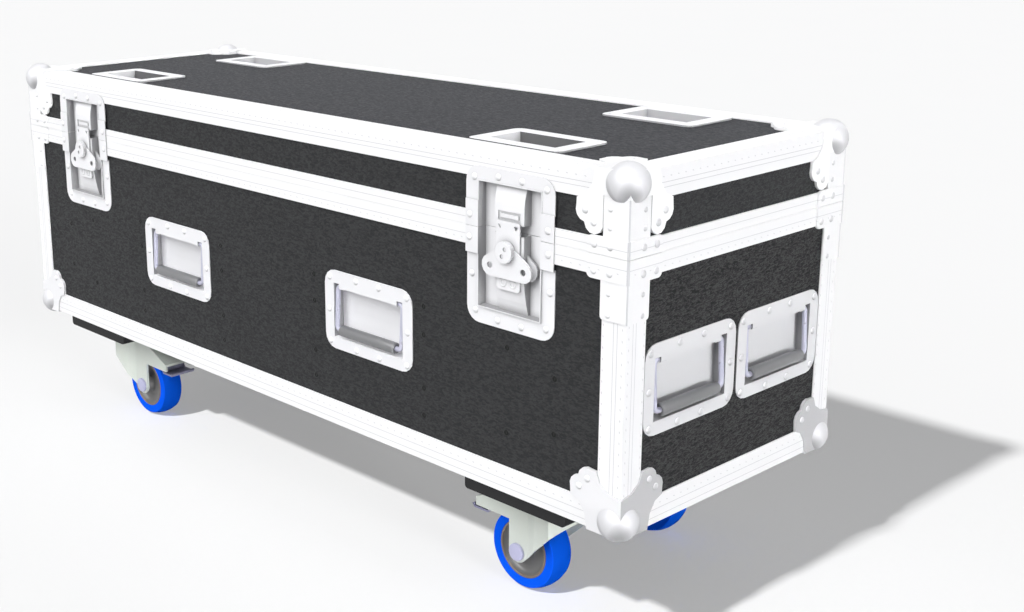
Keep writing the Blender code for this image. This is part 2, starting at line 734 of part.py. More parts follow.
def make_handle_dish(width):
    """Pressed dish with a hinge lip over the bail's pivot and a sleeve at each end of it."""
    half_w = width / 2
    half_h = HANDLE_HEIGHT / 2
    half_open = HANDLE_OPENING / 2
    flange = wall_plate(rounded(-half_w, half_w, -half_h, half_h, HANDLE_ROUND, HANDLE_ROUND, 4),
                        FLANGE_FRONT, FLANGE_FRONT + DISH_WALL)
    pan = box((-half_open - DISH_WALL, FLANGE_FRONT + DISH_WALL / 2, -HANDLE_BOTTOM - DISH_WALL),
              (half_open + DISH_WALL, HANDLE_DEPTH + DISH_WALL, HANDLE_TOP + DISH_WALL))
    hollow = box((-half_open, -CUT_OVER, -HANDLE_BOTTOM), (half_open, HANDLE_DEPTH, HANDLE_TOP))
    dish = cut(join(flange, pan), hollow)
    pivot = HANDLE_TOP - PIVOT_BELOW_TOP
    overlap = DISH_WALL / 2
    sleeve_back = PIVOT_DEPTH + BAIL_RADIUS + 2 * GAP + DISH_WALL
    lip = box((-LIP_HALF, FLANGE_FRONT, HANDLE_TOP - LIP_BELOW_TOP),
              (LIP_HALF, FLANGE_FRONT + DISH_WALL, HANDLE_TOP + overlap))
    sleeves = []
    for side in (-1, 1):
        near, far = sorted((side * LIP_HALF, side * (LIP_HALF - SLEEVE_LENGTH)))
        sleeves.append(box((near, FLANGE_FRONT + overlap, pivot - SLEEVE_BELOW_PIVOT),
                           (far, sleeve_back, HANDLE_TOP + overlap)))
    bore = rod((-half_open + DISH_WALL, PIVOT_DEPTH, pivot), (half_open - DISH_WALL, PIVOT_DEPTH, pivot),
               BAIL_RADIUS + 2 * GAP, 12)
    return cut(join(dish, lip, *sleeves), bore)


def make_handle_bail():
    """Bent bar with its two ends in the sleeves, and a round grip; the origin is on the pivot."""
    bend = 0.006
    lean = BAIL_LEAN
    top = BAIL_HALF - bend * 0.7
    half = [(LIP_HALF - SLEEVE_LENGTH + 2 * GAP, 0, 0), (top, 0, 0)]
    half += [(BAIL_HALF - bend * 0.2, 0, -bend * 0.2), (BAIL_HALF, 0, -bend * 0.7)]
    low = -BAIL_DROP + bend
    half += [(BAIL_HALF, -lean * low / -BAIL_DROP, low)]
    half += [(BAIL_HALF - bend * 0.3, -lean, -BAIL_DROP + bend * 0.3), (BAIL_HALF - bend, -lean, -BAIL_DROP)]
    path = half + [(-x, y, z) for x, y, z in reversed(half)]
    bar = tube(path, BAIL_RADIUS)
    edge = 0.0015
    profile = [(0, GRIP_HALF), (GRIP_RADIUS - edge, GRIP_HALF), (GRIP_RADIUS, GRIP_HALF - edge),
               (GRIP_RADIUS, -GRIP_HALF + edge), (GRIP_RADIUS - edge, -GRIP_HALF), (0, -GRIP_HALF)]
    grip = turned(profile, 14, False, Matrix.Rotation(math.pi / 2, 4, "Y"))
    return join(bar, moved(grip, Matrix.Translation((0, -lean, -BAIL_DROP))))


def make_handles():
    front_dish = make_handle_dish(HANDLE_WIDTH)
    side_dish = make_handle_dish(SIDE_HANDLE_WIDTH)
    bail = make_handle_bail()
    height = CASE_BOTTOM + HANDLE_Z
    pivot = Matrix.Translation((0, PIVOT_DEPTH, HANDLE_TOP - PIVOT_BELOW_TOP))
    places = [("front", "left", -FRONT_HANDLE_X), ("front", "right", FRONT_HANDLE_X),
              ("right", "front", -SIDE_HANDLE_Y), ("right", "rear", SIDE_HANDLE_Y),
              ("left", "rear", -SIDE_HANDLE_Y), ("left", "front", SIDE_HANDLE_Y)]
    for wall, which, along in places:
        frame = wall_frame(wall, along, height)
        dish = front_dish if wall == "front" else side_dish
        add_piece(f"handle_dish_{wall}_{which}", dish, "steel", frame)
        add_piece(f"handle_bail_{wall}_{which}", bail, "bail", frame @ pivot, smooth=True)


# Butterfly latches

def flange_profile(low, step, top, low_front):
    """Side view of a latch flange that steps out over the closing band."""
    wall = DISH_WALL
    return [(low_front, low), (low_front + wall, low), (low_front + wall, step + wall),
            (BAND_FLANGE_BACK, step + wall), (BAND_FLANGE_BACK, top), (BAND_FLANGE_FRONT, top),
            (BAND_FLANGE_FRONT, step), (low_front, step)]


def latch_flange(upper):
    """Flange half with its two outer corners rounded."""
    half = LATCH_WIDTH / 2
    if upper:
        reach = LATCH_ABOVE
        points = flange_profile(-reach, -CRANK_ABOVE, -GAP, -GAP - DISH_WALL)
    else:
        reach = LATCH_BELOW
        points = flange_profile(-reach, -CRANK_BELOW, -GAP / 2, FLANGE_FRONT)
    strip = side_profile(points, -half, half)
    outline = wall_plate(rounded(-half, half, -reach, CUT_OVER, LATCH_ROUND), -CUT_OVER, CUT_OVER)
    flange = combine(strip, [outline], "INTERSECT")
    return moved(flange, Matrix.Diagonal((1, 1, -1 if upper else 1, 1)))


def thick_line(points, wall):
    """Closed outline of a bent strip: the line, and the same line set back by its thickness."""
    back = []
    count = len(points)
    for k, point in enumerate(points):
        before = Vector(points[max(k - 1, 0)])
        after = Vector(points[min(k + 1, count - 1)])
        along = (after - before).normalized()
        back.append((point[0] + wall * -along.y, point[1] + wall * along.x))
    return points + back[::-1]


def hollow_bulge(start, flat_end, far, fall):
    """Hollow rectangular bulge from the dish's floor, drawn upwards and open at its start.

    Its front keeps its level up to flat_end and then sinks back towards the far end.
    """
    back = LATCH_DEPTH + DISH_WALL / 2
    front = BRIDGE_FRONT
    slope = []
    steps = 4
    for k in range(1, steps + 1):
        t = k / steps
        slope.append((front + fall * t * t, flat_end + (far + DISH_WALL / 2 - flat_end) * t))
    outer = [(back, start), (front, start), (front, flat_end)] + slope + [(back, slope[-1][1])]
    within = [(depth + STRIP_WALL, height) for depth, height in slope]
    within[-1] = (within[-1][0], far - GAP)
    inner = [(back + CUT_OVER, start - CUT_OVER), (front + STRIP_WALL, start - CUT_OVER),
             (front + STRIP_WALL, flat_end)] + within + [(back + CUT_OVER, far - GAP)]
    hollow_half = STRIP_HALF - STRIP_WALL
    return cut(side_profile(outer, -STRIP_HALF, STRIP_HALF), side_profile(inner, -hollow_half, hollow_half))


def make_latch_keeper():
    """Upper half of the latch dish, on the lid, with the bulge whose pocket the claw reaches up to."""
    half = LATCH_OPENING / 2
    low = GAP
    pan = box((-half - DISH_WALL, BAND_FLANGE_FRONT + DISH_WALL / 2, low),
              (half + DISH_WALL, LATCH_DEPTH + DISH_WALL, LATCH_OPEN_ABOVE + DISH_WALL))
    hollow = box((-half, -CUT_OVER, -CUT_OVER), (half, LATCH_DEPTH, LATCH_OPEN_ABOVE))
    dish = cut(join(latch_flange(True), pan), hollow)
    bulge = hollow_bulge(KEEPER_START, KEEPER_POCKET[2] + STRIP_WALL, LATCH_OPEN_ABOVE, KEEPER_FALL)
    half_pocket, lower, upper = KEEPER_POCKET
    pocket = box((-half_pocket, -CUT_OVER, lower), (half_pocket, BRIDGE_FRONT + POCKET_DEPTH, upper))
    half_bar, bar_low, bar_high = KEEPER_BAR
    bar = box((-half_bar, BRIDGE_FRONT, bar_low), (half_bar, BRIDGE_FRONT + STRIP_WALL * 0.9, bar_high))
    return join(dish, cut(bulge, pocket), bar)


def ear_outline(spread, drop, radius, waist):
    """Outline with two round ears below and a round boss above, joined by straight flanks."""
    lean = math.degrees(math.atan2(drop, spread))
    right_ear = arc((spread, -drop), radius, -90, 90 - lean + 15, 6)
    boss = arc((0, 0), waist, 90 - lean + 15, 90 + lean - 15, 4)
    left_ear = arc((-spread, -drop), radius, 90 + lean - 15, 270, 6)
    return right_ear + boss + left_ear


def make_latch_base():
    """Lower half of the latch dish, on the base, with the bridge that carries the butterfly."""
    half = LATCH_OPENING / 2
    pan = box((-half - DISH_WALL, BAND_FLANGE_FRONT + DISH_WALL / 2, -LATCH_OPEN_BELOW - DISH_WALL),
              (half + DISH_WALL, LATCH_DEPTH + DISH_WALL, -GAP / 2))
    hollow = box((-half, -CUT_OVER, -LATCH_OPEN_BELOW), (half, LATCH_DEPTH, CUT_OVER))
    dish = cut(join(latch_flange(False), pan), hollow)
    bulge = hollow_bulge(BRIDGE_START, -CRANK_LEVEL, LATCH_OPEN_BELOW, BRIDGE_FALL)
    bulge = moved(bulge, Matrix.Diagonal((1, 1, -1, 1)))
    tab = wall_plate(rounded(-TAB_HALF, TAB_HALF, TAB_LOW, TAB_HIGH, TAB_ROUND, 0.0, 3),
                     BRIDGE_FRONT - TAB_PROUD, BRIDGE_FRONT + STRIP_WALL * 2)
    ears = wall_plate(ear_outline(EAR_SPREAD, EAR_DROP, EAR_RADIUS, BOSS_RADIUS + GAP), EAR_PLATE_DEPTH,
                      EAR_PLATE_DEPTH + STRIP_WALL)
    ears = moved(ears, Matrix.Translation((0, 0, -BOSS_BELOW_SEAM)))
    centre = (0, BRIDGE_FRONT - CUT_OVER, -BOSS_BELOW_SEAM)
    behind = (0, EAR_PLATE_DEPTH - GAP, -BOSS_BELOW_SEAM)
    bore = rod(centre, behind, SPINDLE_RADIUS + GAP, 16)
    return join(dish, cut(join(bulge, tab, ears), bore))


def make_butterfly():
    """Wing plate with two holed ears, its boss, and the spindle with a collar behind the bridge."""
    claw_back = BRIDGE_FRONT - 2 * GAP
    claw_front = claw_back - CLAW_WALL
    wing_back = claw_front - GAP
    wing_front = wing_back - WING_WALL
    outline = ear_outline(EAR_SPREAD, EAR_DROP, EAR_RADIUS, WING_WAIST)
    wing = wall_plate(outline, wing_front, wing_back)
    boss = rod((0, -HARDWARE_REACH, 0), (0, wing_back - WING_WALL / 2, 0), BOSS_RADIUS, 24)
    collar_front = BRIDGE_FRONT + STRIP_WALL + 3 * GAP
    spindle = rod((0, wing_back - WING_WALL / 2, 0), (0, collar_front + 0.0006, 0), SPINDLE_RADIUS, 16)
    collar = rod((0, collar_front, 0), (0, collar_front + 0.0012, 0), SPINDLE_RADIUS + 0.0020, 16)
    holes = []
    for side in (-1, 1):
        centre = (side * EAR_SPREAD, -CUT_OVER, -EAR_DROP)
        holes.append(rod(centre, (side * EAR_SPREAD, CUT_OVER, -EAR_DROP), EAR_HOLE, 12))
    for x, z in ((0.0020, 0.0034), (-0.0022, -0.0048)):
        holes.append(rod((x, -HARDWARE_REACH - GAP, z), (x, -HARDWARE_REACH + 0.0012, z), 0.0026, 10))
    return cut(join(wing, boss, spindle, collar), *holes)


def make_claw():
    """Sliding claw plate with its slot for the spindle and two small triangular holes."""
    back = BRIDGE_FRONT - 2 * GAP
    front = back - CLAW_WALL
    right = [(CLAW_HALF, -CLAW_BOTTOM)]
    right += arc((CLAW_HALF - CLAW_CORNER, CLAW_TOP - CLAW_CORNER), CLAW_CORNER, 0, 90, 3)
    outline = right + [(-x, z) for x, z in reversed(right)]
    claw = wall_plate(outline, front, back)
    slot_half = SPINDLE_RADIUS + GAP
    low = -BOSS_BELOW_SEAM - CLAW_TRAVEL
    slot = arc((0, low), slot_half, 180, 360, 6) + arc((0, -BOSS_BELOW_SEAM), slot_half, 0, 180, 6)
    tools = [wall_plate(slot, front - CUT_OVER, back + CUT_OVER)]
    for side in (-1, 1):
        x = side * 0.0113
        hole = [(x - 0.0030, 0.0090), (x, 0.0045), (x + 0.0030, 0.0090)]
        tools.append(wall_plate(hole, front - CUT_OVER, back + CUT_OVER))
    return cut(claw, *tools)


def make_latches():
    keeper = make_latch_keeper()
    base = make_latch_base()
    butterfly = make_butterfly()
    claw = make_claw()
    for side, x in (("left", -LATCH_X), ("right", LATCH_X)):
        frame = wall_frame("front", x, SEAM)
        add_piece("latch_keeper_" + side, keeper, "steel", frame)
        add_piece("latch_base_" + side, base, "steel", frame)
        boss = frame @ Matrix.Translation((0, 0, -BOSS_BELOW_SEAM))
        add_piece("butterfly_" + side, butterfly, "steel", boss, smooth=True)
        add_piece("claw_" + side, claw, "steel", frame)


# Stacking cups

def make_stacking_cups():
    front = PANEL_FACE - GAP
    outline = rounded(-CUP_WIDTH / 2, CUP_WIDTH / 2, -CUP_DEEP / 2, CUP_DEEP / 2, CUP_ROUND, CUP_ROUND, 3)
    flange = moved(plate(outline, CUP_FLANGE), Matrix.Translation((0, 0, -front + CUP_FLANGE / 2)))
    half_x = CUP_OPEN_X / 2
    half_y = CUP_OPEN_Y / 2
    pan = box((-half_x - DISH_WALL, -half_y - DISH_WALL, -CUP_DEPTH - DISH_WALL),
              (half_x + DISH_WALL, half_y + DISH_WALL, -front + CUP_FLANGE / 2))
    hollow = box((-half_x, -half_y, -CUP_DEPTH), (half_x, half_y, CUT_OVER))
    cup = cut(join(flange, pan), hollow)
    for x in (-CUP_X, CUP_X):
        for y in (-CUP_Y, CUP_Y):
            name = "_".join(("stacking_cup", "front" if y < 0 else "rear", "left" if x < 0 else "right"))
            add_piece(name, cup, "steel", Matrix.Translation((x, y, CASE_TOP)))


# Hinges on the rear closing band

def hinge_leaf(reach, first, front, back):
    """Leaf drawn upwards from the joint, cut away where the other leaf's knuckles turn."""
    half = HINGE_WIDTH / 2
    part = HINGE_WIDTH / HINGE_KNUCKLES
    notches = []
    for k in range(HINGE_KNUCKLES):
        if k % 2 != first:
            left = -half + k * part - (2 * GAP if k else CUT_OVER)
            right = -half + (k + 1) * part + (2 * GAP if k < HINGE_KNUCKLES - 1 else CUT_OVER)
            notches.append(box((left, front - CUT_OVER, -CUT_OVER),
                               (right, back + CUT_OVER, KNUCKLE_RADIUS + 2 * GAP)))
    return cut(box((-half, front, 0), (half, back, reach)), *notches)


def make_hinges():
    """Two butt hinges; the base leaf holds the pin and the lid leaf turns on it."""
    axis_out = -HARDWARE_REACH + KNUCKLE_RADIUS
    axis_z = GAP / 2
    back = -BAND_PROUD - GAP
    front = back - HINGE_LEAF
    half = HINGE_WIDTH / 2
    part = HINGE_WIDTH / HINGE_KNUCKLES
    rise = Matrix.Translation((0, 0, axis_z))
    base = moved(hinge_leaf(BASE_BAND - 0.002, 0, front, back), rise @ Matrix.Diagonal((1, 1, -1, 1)))
    lid = moved(hinge_leaf(LID_BAND - 0.001, 1, front, back), rise)
    base_knuckles = []
    lid_knuckles = []
    bores = []
    for k in range(HINGE_KNUCKLES):
        left = -half + k * part + GAP
        right = -half + (k + 1) * part - GAP
        knuckle = rod((left, axis_out, axis_z), (right, axis_out, axis_z), KNUCKLE_RADIUS, 10)
        if k % 2 == 0:
            base_knuckles.append(knuckle)
        else:
            lid_knuckles.append(knuckle)
            bores.append(rod((left - part / 2, axis_out, axis_z), (right + part / 2, axis_out, axis_z),
                             HINGE_PIN + HINGE_PLAY, 8))
    pin = rod((-half + 0.001, axis_out, axis_z), (half - 0.001, axis_out, axis_z), HINGE_PIN, 8)
    base = join(base, pin, *base_knuckles)
    lid = cut(join(lid, *lid_knuckles), *bores)
    for side, x in (("left", HINGE_X), ("right", -HINGE_X)):
        frame = wall_frame("rear", x, SEAM)
        add_piece("hinge_base_leaf_" + side, base, "steel", frame, smooth=True)
        add_piece("hinge_lid_leaf_" + side, lid, "steel", frame, smooth=True)


# Castors, drawn with the swivel axis on Z, the floor at Z = 0 and the wheel on the -X side

def make_boards():
    half = BOARD_LENGTH / 2
    deep = HALF_Y - BOARD_SETBACK
    top = CASTOR_HEIGHT + BOARD_THICKNESS
    plate_low = CASTOR_HEIGHT - PLATE_THICKNESS
    for side, x in (("left", -CASTOR_X), ("right", CASTOR_X)):
        outline = rounded(-half, half, CASTOR_HEIGHT, top, BOARD_ROUND, 0.0, 3)
        board = wall_plate(outline, -deep, deep)
        added = []
        for y in (-CASTOR_Y, CASTOR_Y):
            low = (-PLATE_X / 2, y - PLATE_Y / 2, plate_low)
            added.append(box(low, (PLATE_X / 2, y + PLATE_Y / 2, CASTOR_HEIGHT + PLATE_THICKNESS / 2)))
            added.append(rod((0, y, plate_low - RACE_HEIGHT), (0, y, plate_low + PLATE_THICKNESS / 2),
                             RACE_RADIUS, 20))
        add_piece("castor_board_" + side, join(board, *added), "black", Matrix.Translation((x, 0, 0)))


def fork_side(inset):
    """Side view of the fork: hood over the wheel, leg down to the axle, slanting leading edge."""
    top = FORK_TOP - inset
    toe = arc((-CASTOR_TRAIL, WHEEL_RADIUS), LEG_END_RADIUS, 190, 300, 4)
    leg_back = -CASTOR_TRAIL - LEG_END_RADIUS
    return toe + [(FORK_LEAD, top - LEAD_SLANT_DROP), (FORK_LEAD, top), (-HOOD_FLAT, top),
                  (-HOOD_TAIL, HOOD_LOW + HOOD_END_HEIGHT - inset), (-HOOD_TAIL, HOOD_LOW),
                  (leg_back, HOOD_LOW)]


def fork_plan(inset):
    """Plan of the fork: straight sides that spread towards the swivel, and a rounded front."""
    half = FORK_HALF + FORK_WALL - inset
    spread = SPREAD_HALF - inset
    lead = FORK_LEAD - inset
    left = [(-HOOD_TAIL - (CUT_OVER if inset else 0), half), (-SPREAD_START, half),
            (-SPREAD_BEND, spread - SPREAD_STEP), (SPREAD_END, spread),
            (lead - NOSE_LENGTH, spread * NOSE_SHARE), (lead, spread * NOSE_SHARE ** 3)]
    return left + [(x, -y) for x, y in reversed(left)]


def make_fork():
    """Folded fork with its two legs, axle and bolt heads."""
    half = FORK_HALF + FORK_WALL
    high = 2 * CASTOR_HEIGHT
    solid = moved(plate(fork_plan(0.0), high), Matrix.Translation((0, 0, high / 2)))
    body = combine(solid, [wall_plate(fork_side(0.0), -CUT_OVER - half, CUT_OVER + half)], "INTERSECT")
    hollow = moved(plate(fork_plan(FORK_WALL), high), Matrix.Translation((0, 0, high / 2)))
    under = FORK_TOP - FORK_WALL
    tail_room = HOOD_LOW + HOOD_END_HEIGHT - FORK_WALL
    room = [(FORK_LEAD + CUT_OVER, -CUT_OVER), (FORK_LEAD + CUT_OVER, under), (-HOOD_FLAT, under),
            (-HOOD_TAIL, tail_room), (-HOOD_TAIL - 2 * CUT_OVER, tail_room),
            (-HOOD_TAIL - 2 * CUT_OVER, -CUT_OVER)]
    hollow = combine(hollow, [wall_plate(room, -CUT_OVER - half, CUT_OVER + half)], "INTERSECT")
    body = cut(body, hollow)
    axle_x = -CASTOR_TRAIL
    axle = rod((axle_x, -half - BOLT_HEAD / 2, WHEEL_RADIUS), (axle_x, half + BOLT_HEAD / 2, WHEEL_RADIUS),
               AXLE_RADIUS, 12)
    heads = []
    pins = []
    pivot_x, pivot_z = PEDAL_PIVOT
    for side in (-1, 1):
        heads.append(rod((axle_x, side * (half - FORK_WALL / 2), WHEEL_RADIUS),
                         (axle_x, side * (half + BOLT_HEAD), WHEEL_RADIUS), BOLT_RADIUS, 12))
        pins.append(rod((pivot_x, side * (FORK_HALF - PEDAL_PIN_REACH), pivot_z),
                        (pivot_x, side * (FORK_HALF + FORK_WALL / 2), pivot_z), PEDAL_PIN_RADIUS, 10))
    return join(body, axle, *heads, *pins)


def make_pedal():
    """Bent foot plate under the hood's tail; the origin is on its pivot."""
    hub_radius = PEDAL_PIN_RADIUS + GAP + PEDAL_WALL / 2
    line = [(0, -hub_radius / 2), (-hub_radius, -hub_radius), (-PEDAL_STEP, -PEDAL_LOW),
            (-PEDAL_REACH + PEDAL_TURN_UP / 2, -PEDAL_LOW), (-PEDAL_REACH, -PEDAL_LOW + PEDAL_TURN_UP)]
    body = wall_plate(thick_line(line, PEDAL_WALL), -PEDAL_HALF, PEDAL_HALF)
    hub = rod((0, -PEDAL_HALF, 0), (0, PEDAL_HALF, 0), hub_radius, 12)
    body = join(body, hub)
    bores = []
    for side in (-1, 1):
        bores.append(rod((0, side * (FORK_HALF - PEDAL_PIN_REACH - GAP), 0),
                         (0, side * (PEDAL_HALF + CUT_OVER), 0),
                         PEDAL_PIN_RADIUS + GAP, 12))
    return cut(body, *bores)


def make_wheel():
    """Tyre and dished hub in one turned profile round the axle's bore."""
    bore = AXLE_RADIUS + AXLE_PLAY
    half = [(bore, HUB_HALF), (0.0115, HUB_HALF), (0.0130, 0.0110), (0.0240, 0.0085),
            (HUB_RIM_RADIUS, TREAD_HALF), (WHEEL_RADIUS - TREAD_ROUND, TREAD_HALF),
            (WHEEL_RADIUS, TREAD_HALF * 0.6)]
    profile = half + [(r, -h) for r, h in reversed(half)]
    return turned(profile, 24, True, Matrix.Rotation(math.pi / 2, 4, "X"))


def make_castors():
    fork = make_fork()
    wheel = make_wheel()
    pedal = make_pedal()
    for sx in (-1, 1):
        for sy in (-1, 1):
            turn = Matrix.Rotation(math.pi if sx < 0 else 0.0, 4, "Z")
            swivel = Matrix.Translation((sx * CASTOR_X, sy * CASTOR_Y, 0)) @ turn
            where = ("front" if sy < 0 else "rear") + "_" + ("left" if sx < 0 else "right")
            add_piece("castor_fork_" + where, fork, "fork", swivel)
            axle = swivel @ Matrix.Translation((-CASTOR_TRAIL, 0, WHEEL_RADIUS))
            add_piece("castor_wheel_" + where, wheel, "wheel", axle, smooth=True)
            if sy < 0:
                pivot = swivel @ Matrix.Translation((PEDAL_PIVOT[0], 0, PEDAL_PIVOT[1]))
                add_piece("brake_pedal_" + where, pedal, "bail", pivot)


clear_scene()
CASE = bpy.data.collections.new("flight_case")
bpy.context.scene.collection.children.link(CASE)

make_base_panels()
make_lid_panels()
make_edge_frame("base_edge_frame", False)
make_edge_frame("lid_edge_frame", True)
make_base_closing_frame()
make_lid_closing_frame()
make_ball_corners()
make_handles()
make_latches()
make_stacking_cups()
make_hinges()
make_boards()
make_castors()
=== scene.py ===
# %% [markdown]
# # A flight case on castors, seen from its front right
# The solids of the case arrive as a fixed frame. This script gives them their surfaces and adds what is too
# fine for a solid model: rivets, screws, the round bars and grips of the handles, and the tyres and hubs.
# All lengths are metres and Z is up. The case stands on Z = 0 with its latches on the -Y side.

import json
import math

import bpy
import numpy as np
from mathutils import Matrix, Vector

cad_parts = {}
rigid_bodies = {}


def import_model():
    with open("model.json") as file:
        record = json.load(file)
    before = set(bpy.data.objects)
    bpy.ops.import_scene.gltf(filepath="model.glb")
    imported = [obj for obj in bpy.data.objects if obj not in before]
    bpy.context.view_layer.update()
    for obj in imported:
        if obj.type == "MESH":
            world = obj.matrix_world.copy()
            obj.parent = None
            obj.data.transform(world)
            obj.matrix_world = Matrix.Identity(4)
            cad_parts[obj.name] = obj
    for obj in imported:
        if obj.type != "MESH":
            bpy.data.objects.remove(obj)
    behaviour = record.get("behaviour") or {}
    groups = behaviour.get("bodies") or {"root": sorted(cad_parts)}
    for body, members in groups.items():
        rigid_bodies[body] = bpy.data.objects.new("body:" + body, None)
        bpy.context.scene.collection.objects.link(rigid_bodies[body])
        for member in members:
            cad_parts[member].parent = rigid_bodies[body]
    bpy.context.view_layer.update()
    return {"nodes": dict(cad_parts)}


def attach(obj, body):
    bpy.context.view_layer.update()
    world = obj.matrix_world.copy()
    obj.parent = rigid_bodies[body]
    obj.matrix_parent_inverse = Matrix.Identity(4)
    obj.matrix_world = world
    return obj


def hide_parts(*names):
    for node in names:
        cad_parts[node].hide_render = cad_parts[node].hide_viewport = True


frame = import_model()

# %% [markdown]
# ## The sizes that the fine pieces need
# They follow the solid model, so that a rivet sits on its plate and a bar runs through its sleeves. They
# could be measured from the solids' meshes at each start, but fixed numbers are easier to read and stay
# in one place. The four walls share one way of giving a place: along the wall, into it, and up.

# %% Sizes, and a wall's own axes
HALF_X = 0.590              # outer faces of the edge angles
HALF_Y = 0.1915
BOTTOM = 0.1503             # heights above the floor
TOP = 0.5323
SEAM = 0.4464               # joint between base and lid
HANDLE_Z = 0.3003           # middle of the handle dishes
LATCH_X = 0.4324            # the latches stand this far left and right of the middle
CORNERS = [(sx, sy) for sx in (-1, 1) for sy in (-1, 1)]
HANDLES = [("front", "left", -0.2014), ("front", "right", 0.2014), ("right", "front", -0.0807),
           ("right", "rear", 0.0807), ("left", "rear", -0.0807), ("left", "front", 0.0807)]
WALLS = {"front": (0, HALF_Y), "right": (90, HALF_X), "rear": (180, HALF_Y), "left": (-90, HALF_X)}


def wall_matrix(wall, along=0.0, height=0.0):
    """Frame of a wall: X to the right as one looks at it, Y inwards from the edge angles' face, Z up."""
    angle, reach = WALLS[wall]
    return Matrix.Rotation(math.radians(angle), 4, "Z") @ Matrix.Translation((along, -reach, height))


print("case", 2 * HALF_X, 2 * HALF_Y, TOP - BOTTOM)

# %% [markdown]
# ## Meshes from formulas
# A mesh could be modelled by hand or typed point by point, but a formula is shorter and never leaves a
# hole. A grid of points is computed at once as an array, and its quads follow from the row and column
# numbers. Blender takes such arrays in one call, which is far quicker than adding the faces one by one.

# %% Quads of a grid, and a mesh from arrays
def grid_quads(rows, columns):
    """Quads of a grid that closes on itself: a point, its neighbour in the row, and both in the next row."""
    r = np.arange(rows - 1)[:, None] * columns
    c = np.arange(columns)[None, :]
    n = (c + 1) % columns
    below = r + columns
    return np.stack([r + c, r + n, below + n, below + c], -1).reshape(-1, 4)


def build(name, points, quads, sharp=None):
    """One mesh object from arrays of points and quads, smooth shaded."""
    mesh = bpy.data.meshes.new(name)
    mesh.vertices.add(len(points))
    mesh.vertices.foreach_set("co", np.asarray(points, dtype=np.float32).ravel())
    mesh.loops.add(quads.size)
    mesh.loops.foreach_set("vertex_index", quads.astype(np.int32).ravel())
    mesh.polygons.add(len(quads))
    mesh.polygons.foreach_set("loop_start", np.arange(0, quads.size, 4, dtype=np.int32))
    mesh.polygons.foreach_set("loop_total", np.full(len(quads), 4, dtype=np.int32))
    mesh.update(calc_edges=True)
    mesh.validate()
    mesh.shade_smooth()
    if sharp is not None:
        mesh.set_sharp_from_angle(angle=math.radians(sharp))
    piece = bpy.data.objects.new(name, mesh)
    bpy.context.scene.collection.objects.link(piece)
    return piece


print("quads of a 3 by 8 ring", len(grid_quads(3, 8)))

# %% [markdown]
# ## Turned pieces and round bars
# On the real case rivets, tyres, hubs, grips and balls are all round about an axis, so they share one
# function that carries a profile round it. Blender's Screw modifier does the same, but an array can be
# repeated hundreds of times without a modifier for each. A handle's bar is bent from rod, so it is a
# circle carried along a path.

# %% A turned profile and a swept circle
def lathe(profile, sides):
    """A (radius, height) profile turned about Z: point = (r cos a, r sin a, h) for evenly spaced a."""
    profile = np.asarray(profile, dtype=float)
    a = np.arange(sides) * math.tau / sides
    r = profile[:, 0][:, None]
    x = r * np.cos(a)
    y = r * np.sin(a)
    z = np.repeat(profile[:, 1][:, None], sides, 1)
    return np.stack([x, y, z], -1).reshape(-1, 3), grid_quads(len(profile), sides)


def swept(path, radius, sides):
    """A round bar: at each path point a circle of that radius, in the plane square to the path.

    The path lies near the plane of X and Z, so Y is never along it. Both ends close in a point.
    """
    path = np.asarray(path, dtype=float)
    along = np.gradient(path, axis=0)
    along /= np.linalg.norm(along, axis=1)[:, None]
    side = np.cross(along, np.array([0.0, 1.0, 0.0]))
    side /= np.linalg.norm(side, axis=1)[:, None]
    other = np.cross(side, along)
    a = np.arange(sides) * math.tau / sides
    across = side[:, None, :] * np.cos(a)[None, :, None]
    ring = radius * (across + other[:, None, :] * np.sin(a)[None, :, None])
    start = np.repeat(path[:1][:, None, :], sides, 1)
    end = np.repeat(path[-1:][:, None, :], sides, 1)
    points = np.concatenate([start, path[:, None, :] + ring, end])
    return points.reshape(-1, 3), grid_quads(len(path) + 2, sides)


print("points of a turned ring", len(lathe([(0.001, 0.0), (0.002, 0.0)], 12)[0]))

# %% [markdown]
# ## Many at once
# Hundreds of rivets as separate objects would be slow to handle, and each would be a piece of its own in
# an export. So equal pieces on one body become one mesh: the same points, moved by one matrix for each
# place.

# %% Moving and gathering arrays
def placed(points, matrix):
    """Points moved by a 4x4 matrix: the turn times each point, plus the shift."""
    m = np.array(matrix)
    return points @ m[:3, :3].T + m[:3, 3]


def gathered(parts):
    """Several (points, quads) pairs as one pair."""
    points = []
    quads = []
    count = 0
    for p, q in parts:
        points.append(p)
        quads.append(q + count)
        count += len(p)
    return np.concatenate(points), np.concatenate(quads)


def many(part, matrices):
    """The same part at many places, as one pair of arrays."""
    p, q = part
    return gathered([(placed(p, m), q) for m in matrices])


two_rings = many(lathe([(0.001, 0.0), (0.002, 0.0)], 12), [Matrix(), Matrix()])
print("points of two rings", len(two_rings[0]))

# %% [markdown]
# ## Tools for surfaces
# A surface could be a picture laid on with UV coordinates, but the solids have none, and a formula stays
# sharp at any distance. So each surface is a small tree of nodes. These helpers add one node each, so
# that a finish below reads like a sentence. Everything reads object coordinates, so the grain has the
# same size on every piece.

# %% Links and sums
MATERIALS = {}


def link(tree, a, b):
    """Join an output socket to an input socket."""
    tree.links.new(a, b)


def math_node(tree, operation, first, second=None, third=None):
    """A Math node; numbers go on its sockets and sockets are linked."""
    node = tree.nodes.new("ShaderNodeMath")
    node.operation = operation
    for k, value in enumerate((first, second, third)):
        if value is None:
            continue
        if isinstance(value, (int, float)):
            node.inputs[k].default_value = value
        else:
            link(tree, value, node.inputs[k])
    return node.outputs[0]


print("helpers: link, math_node")

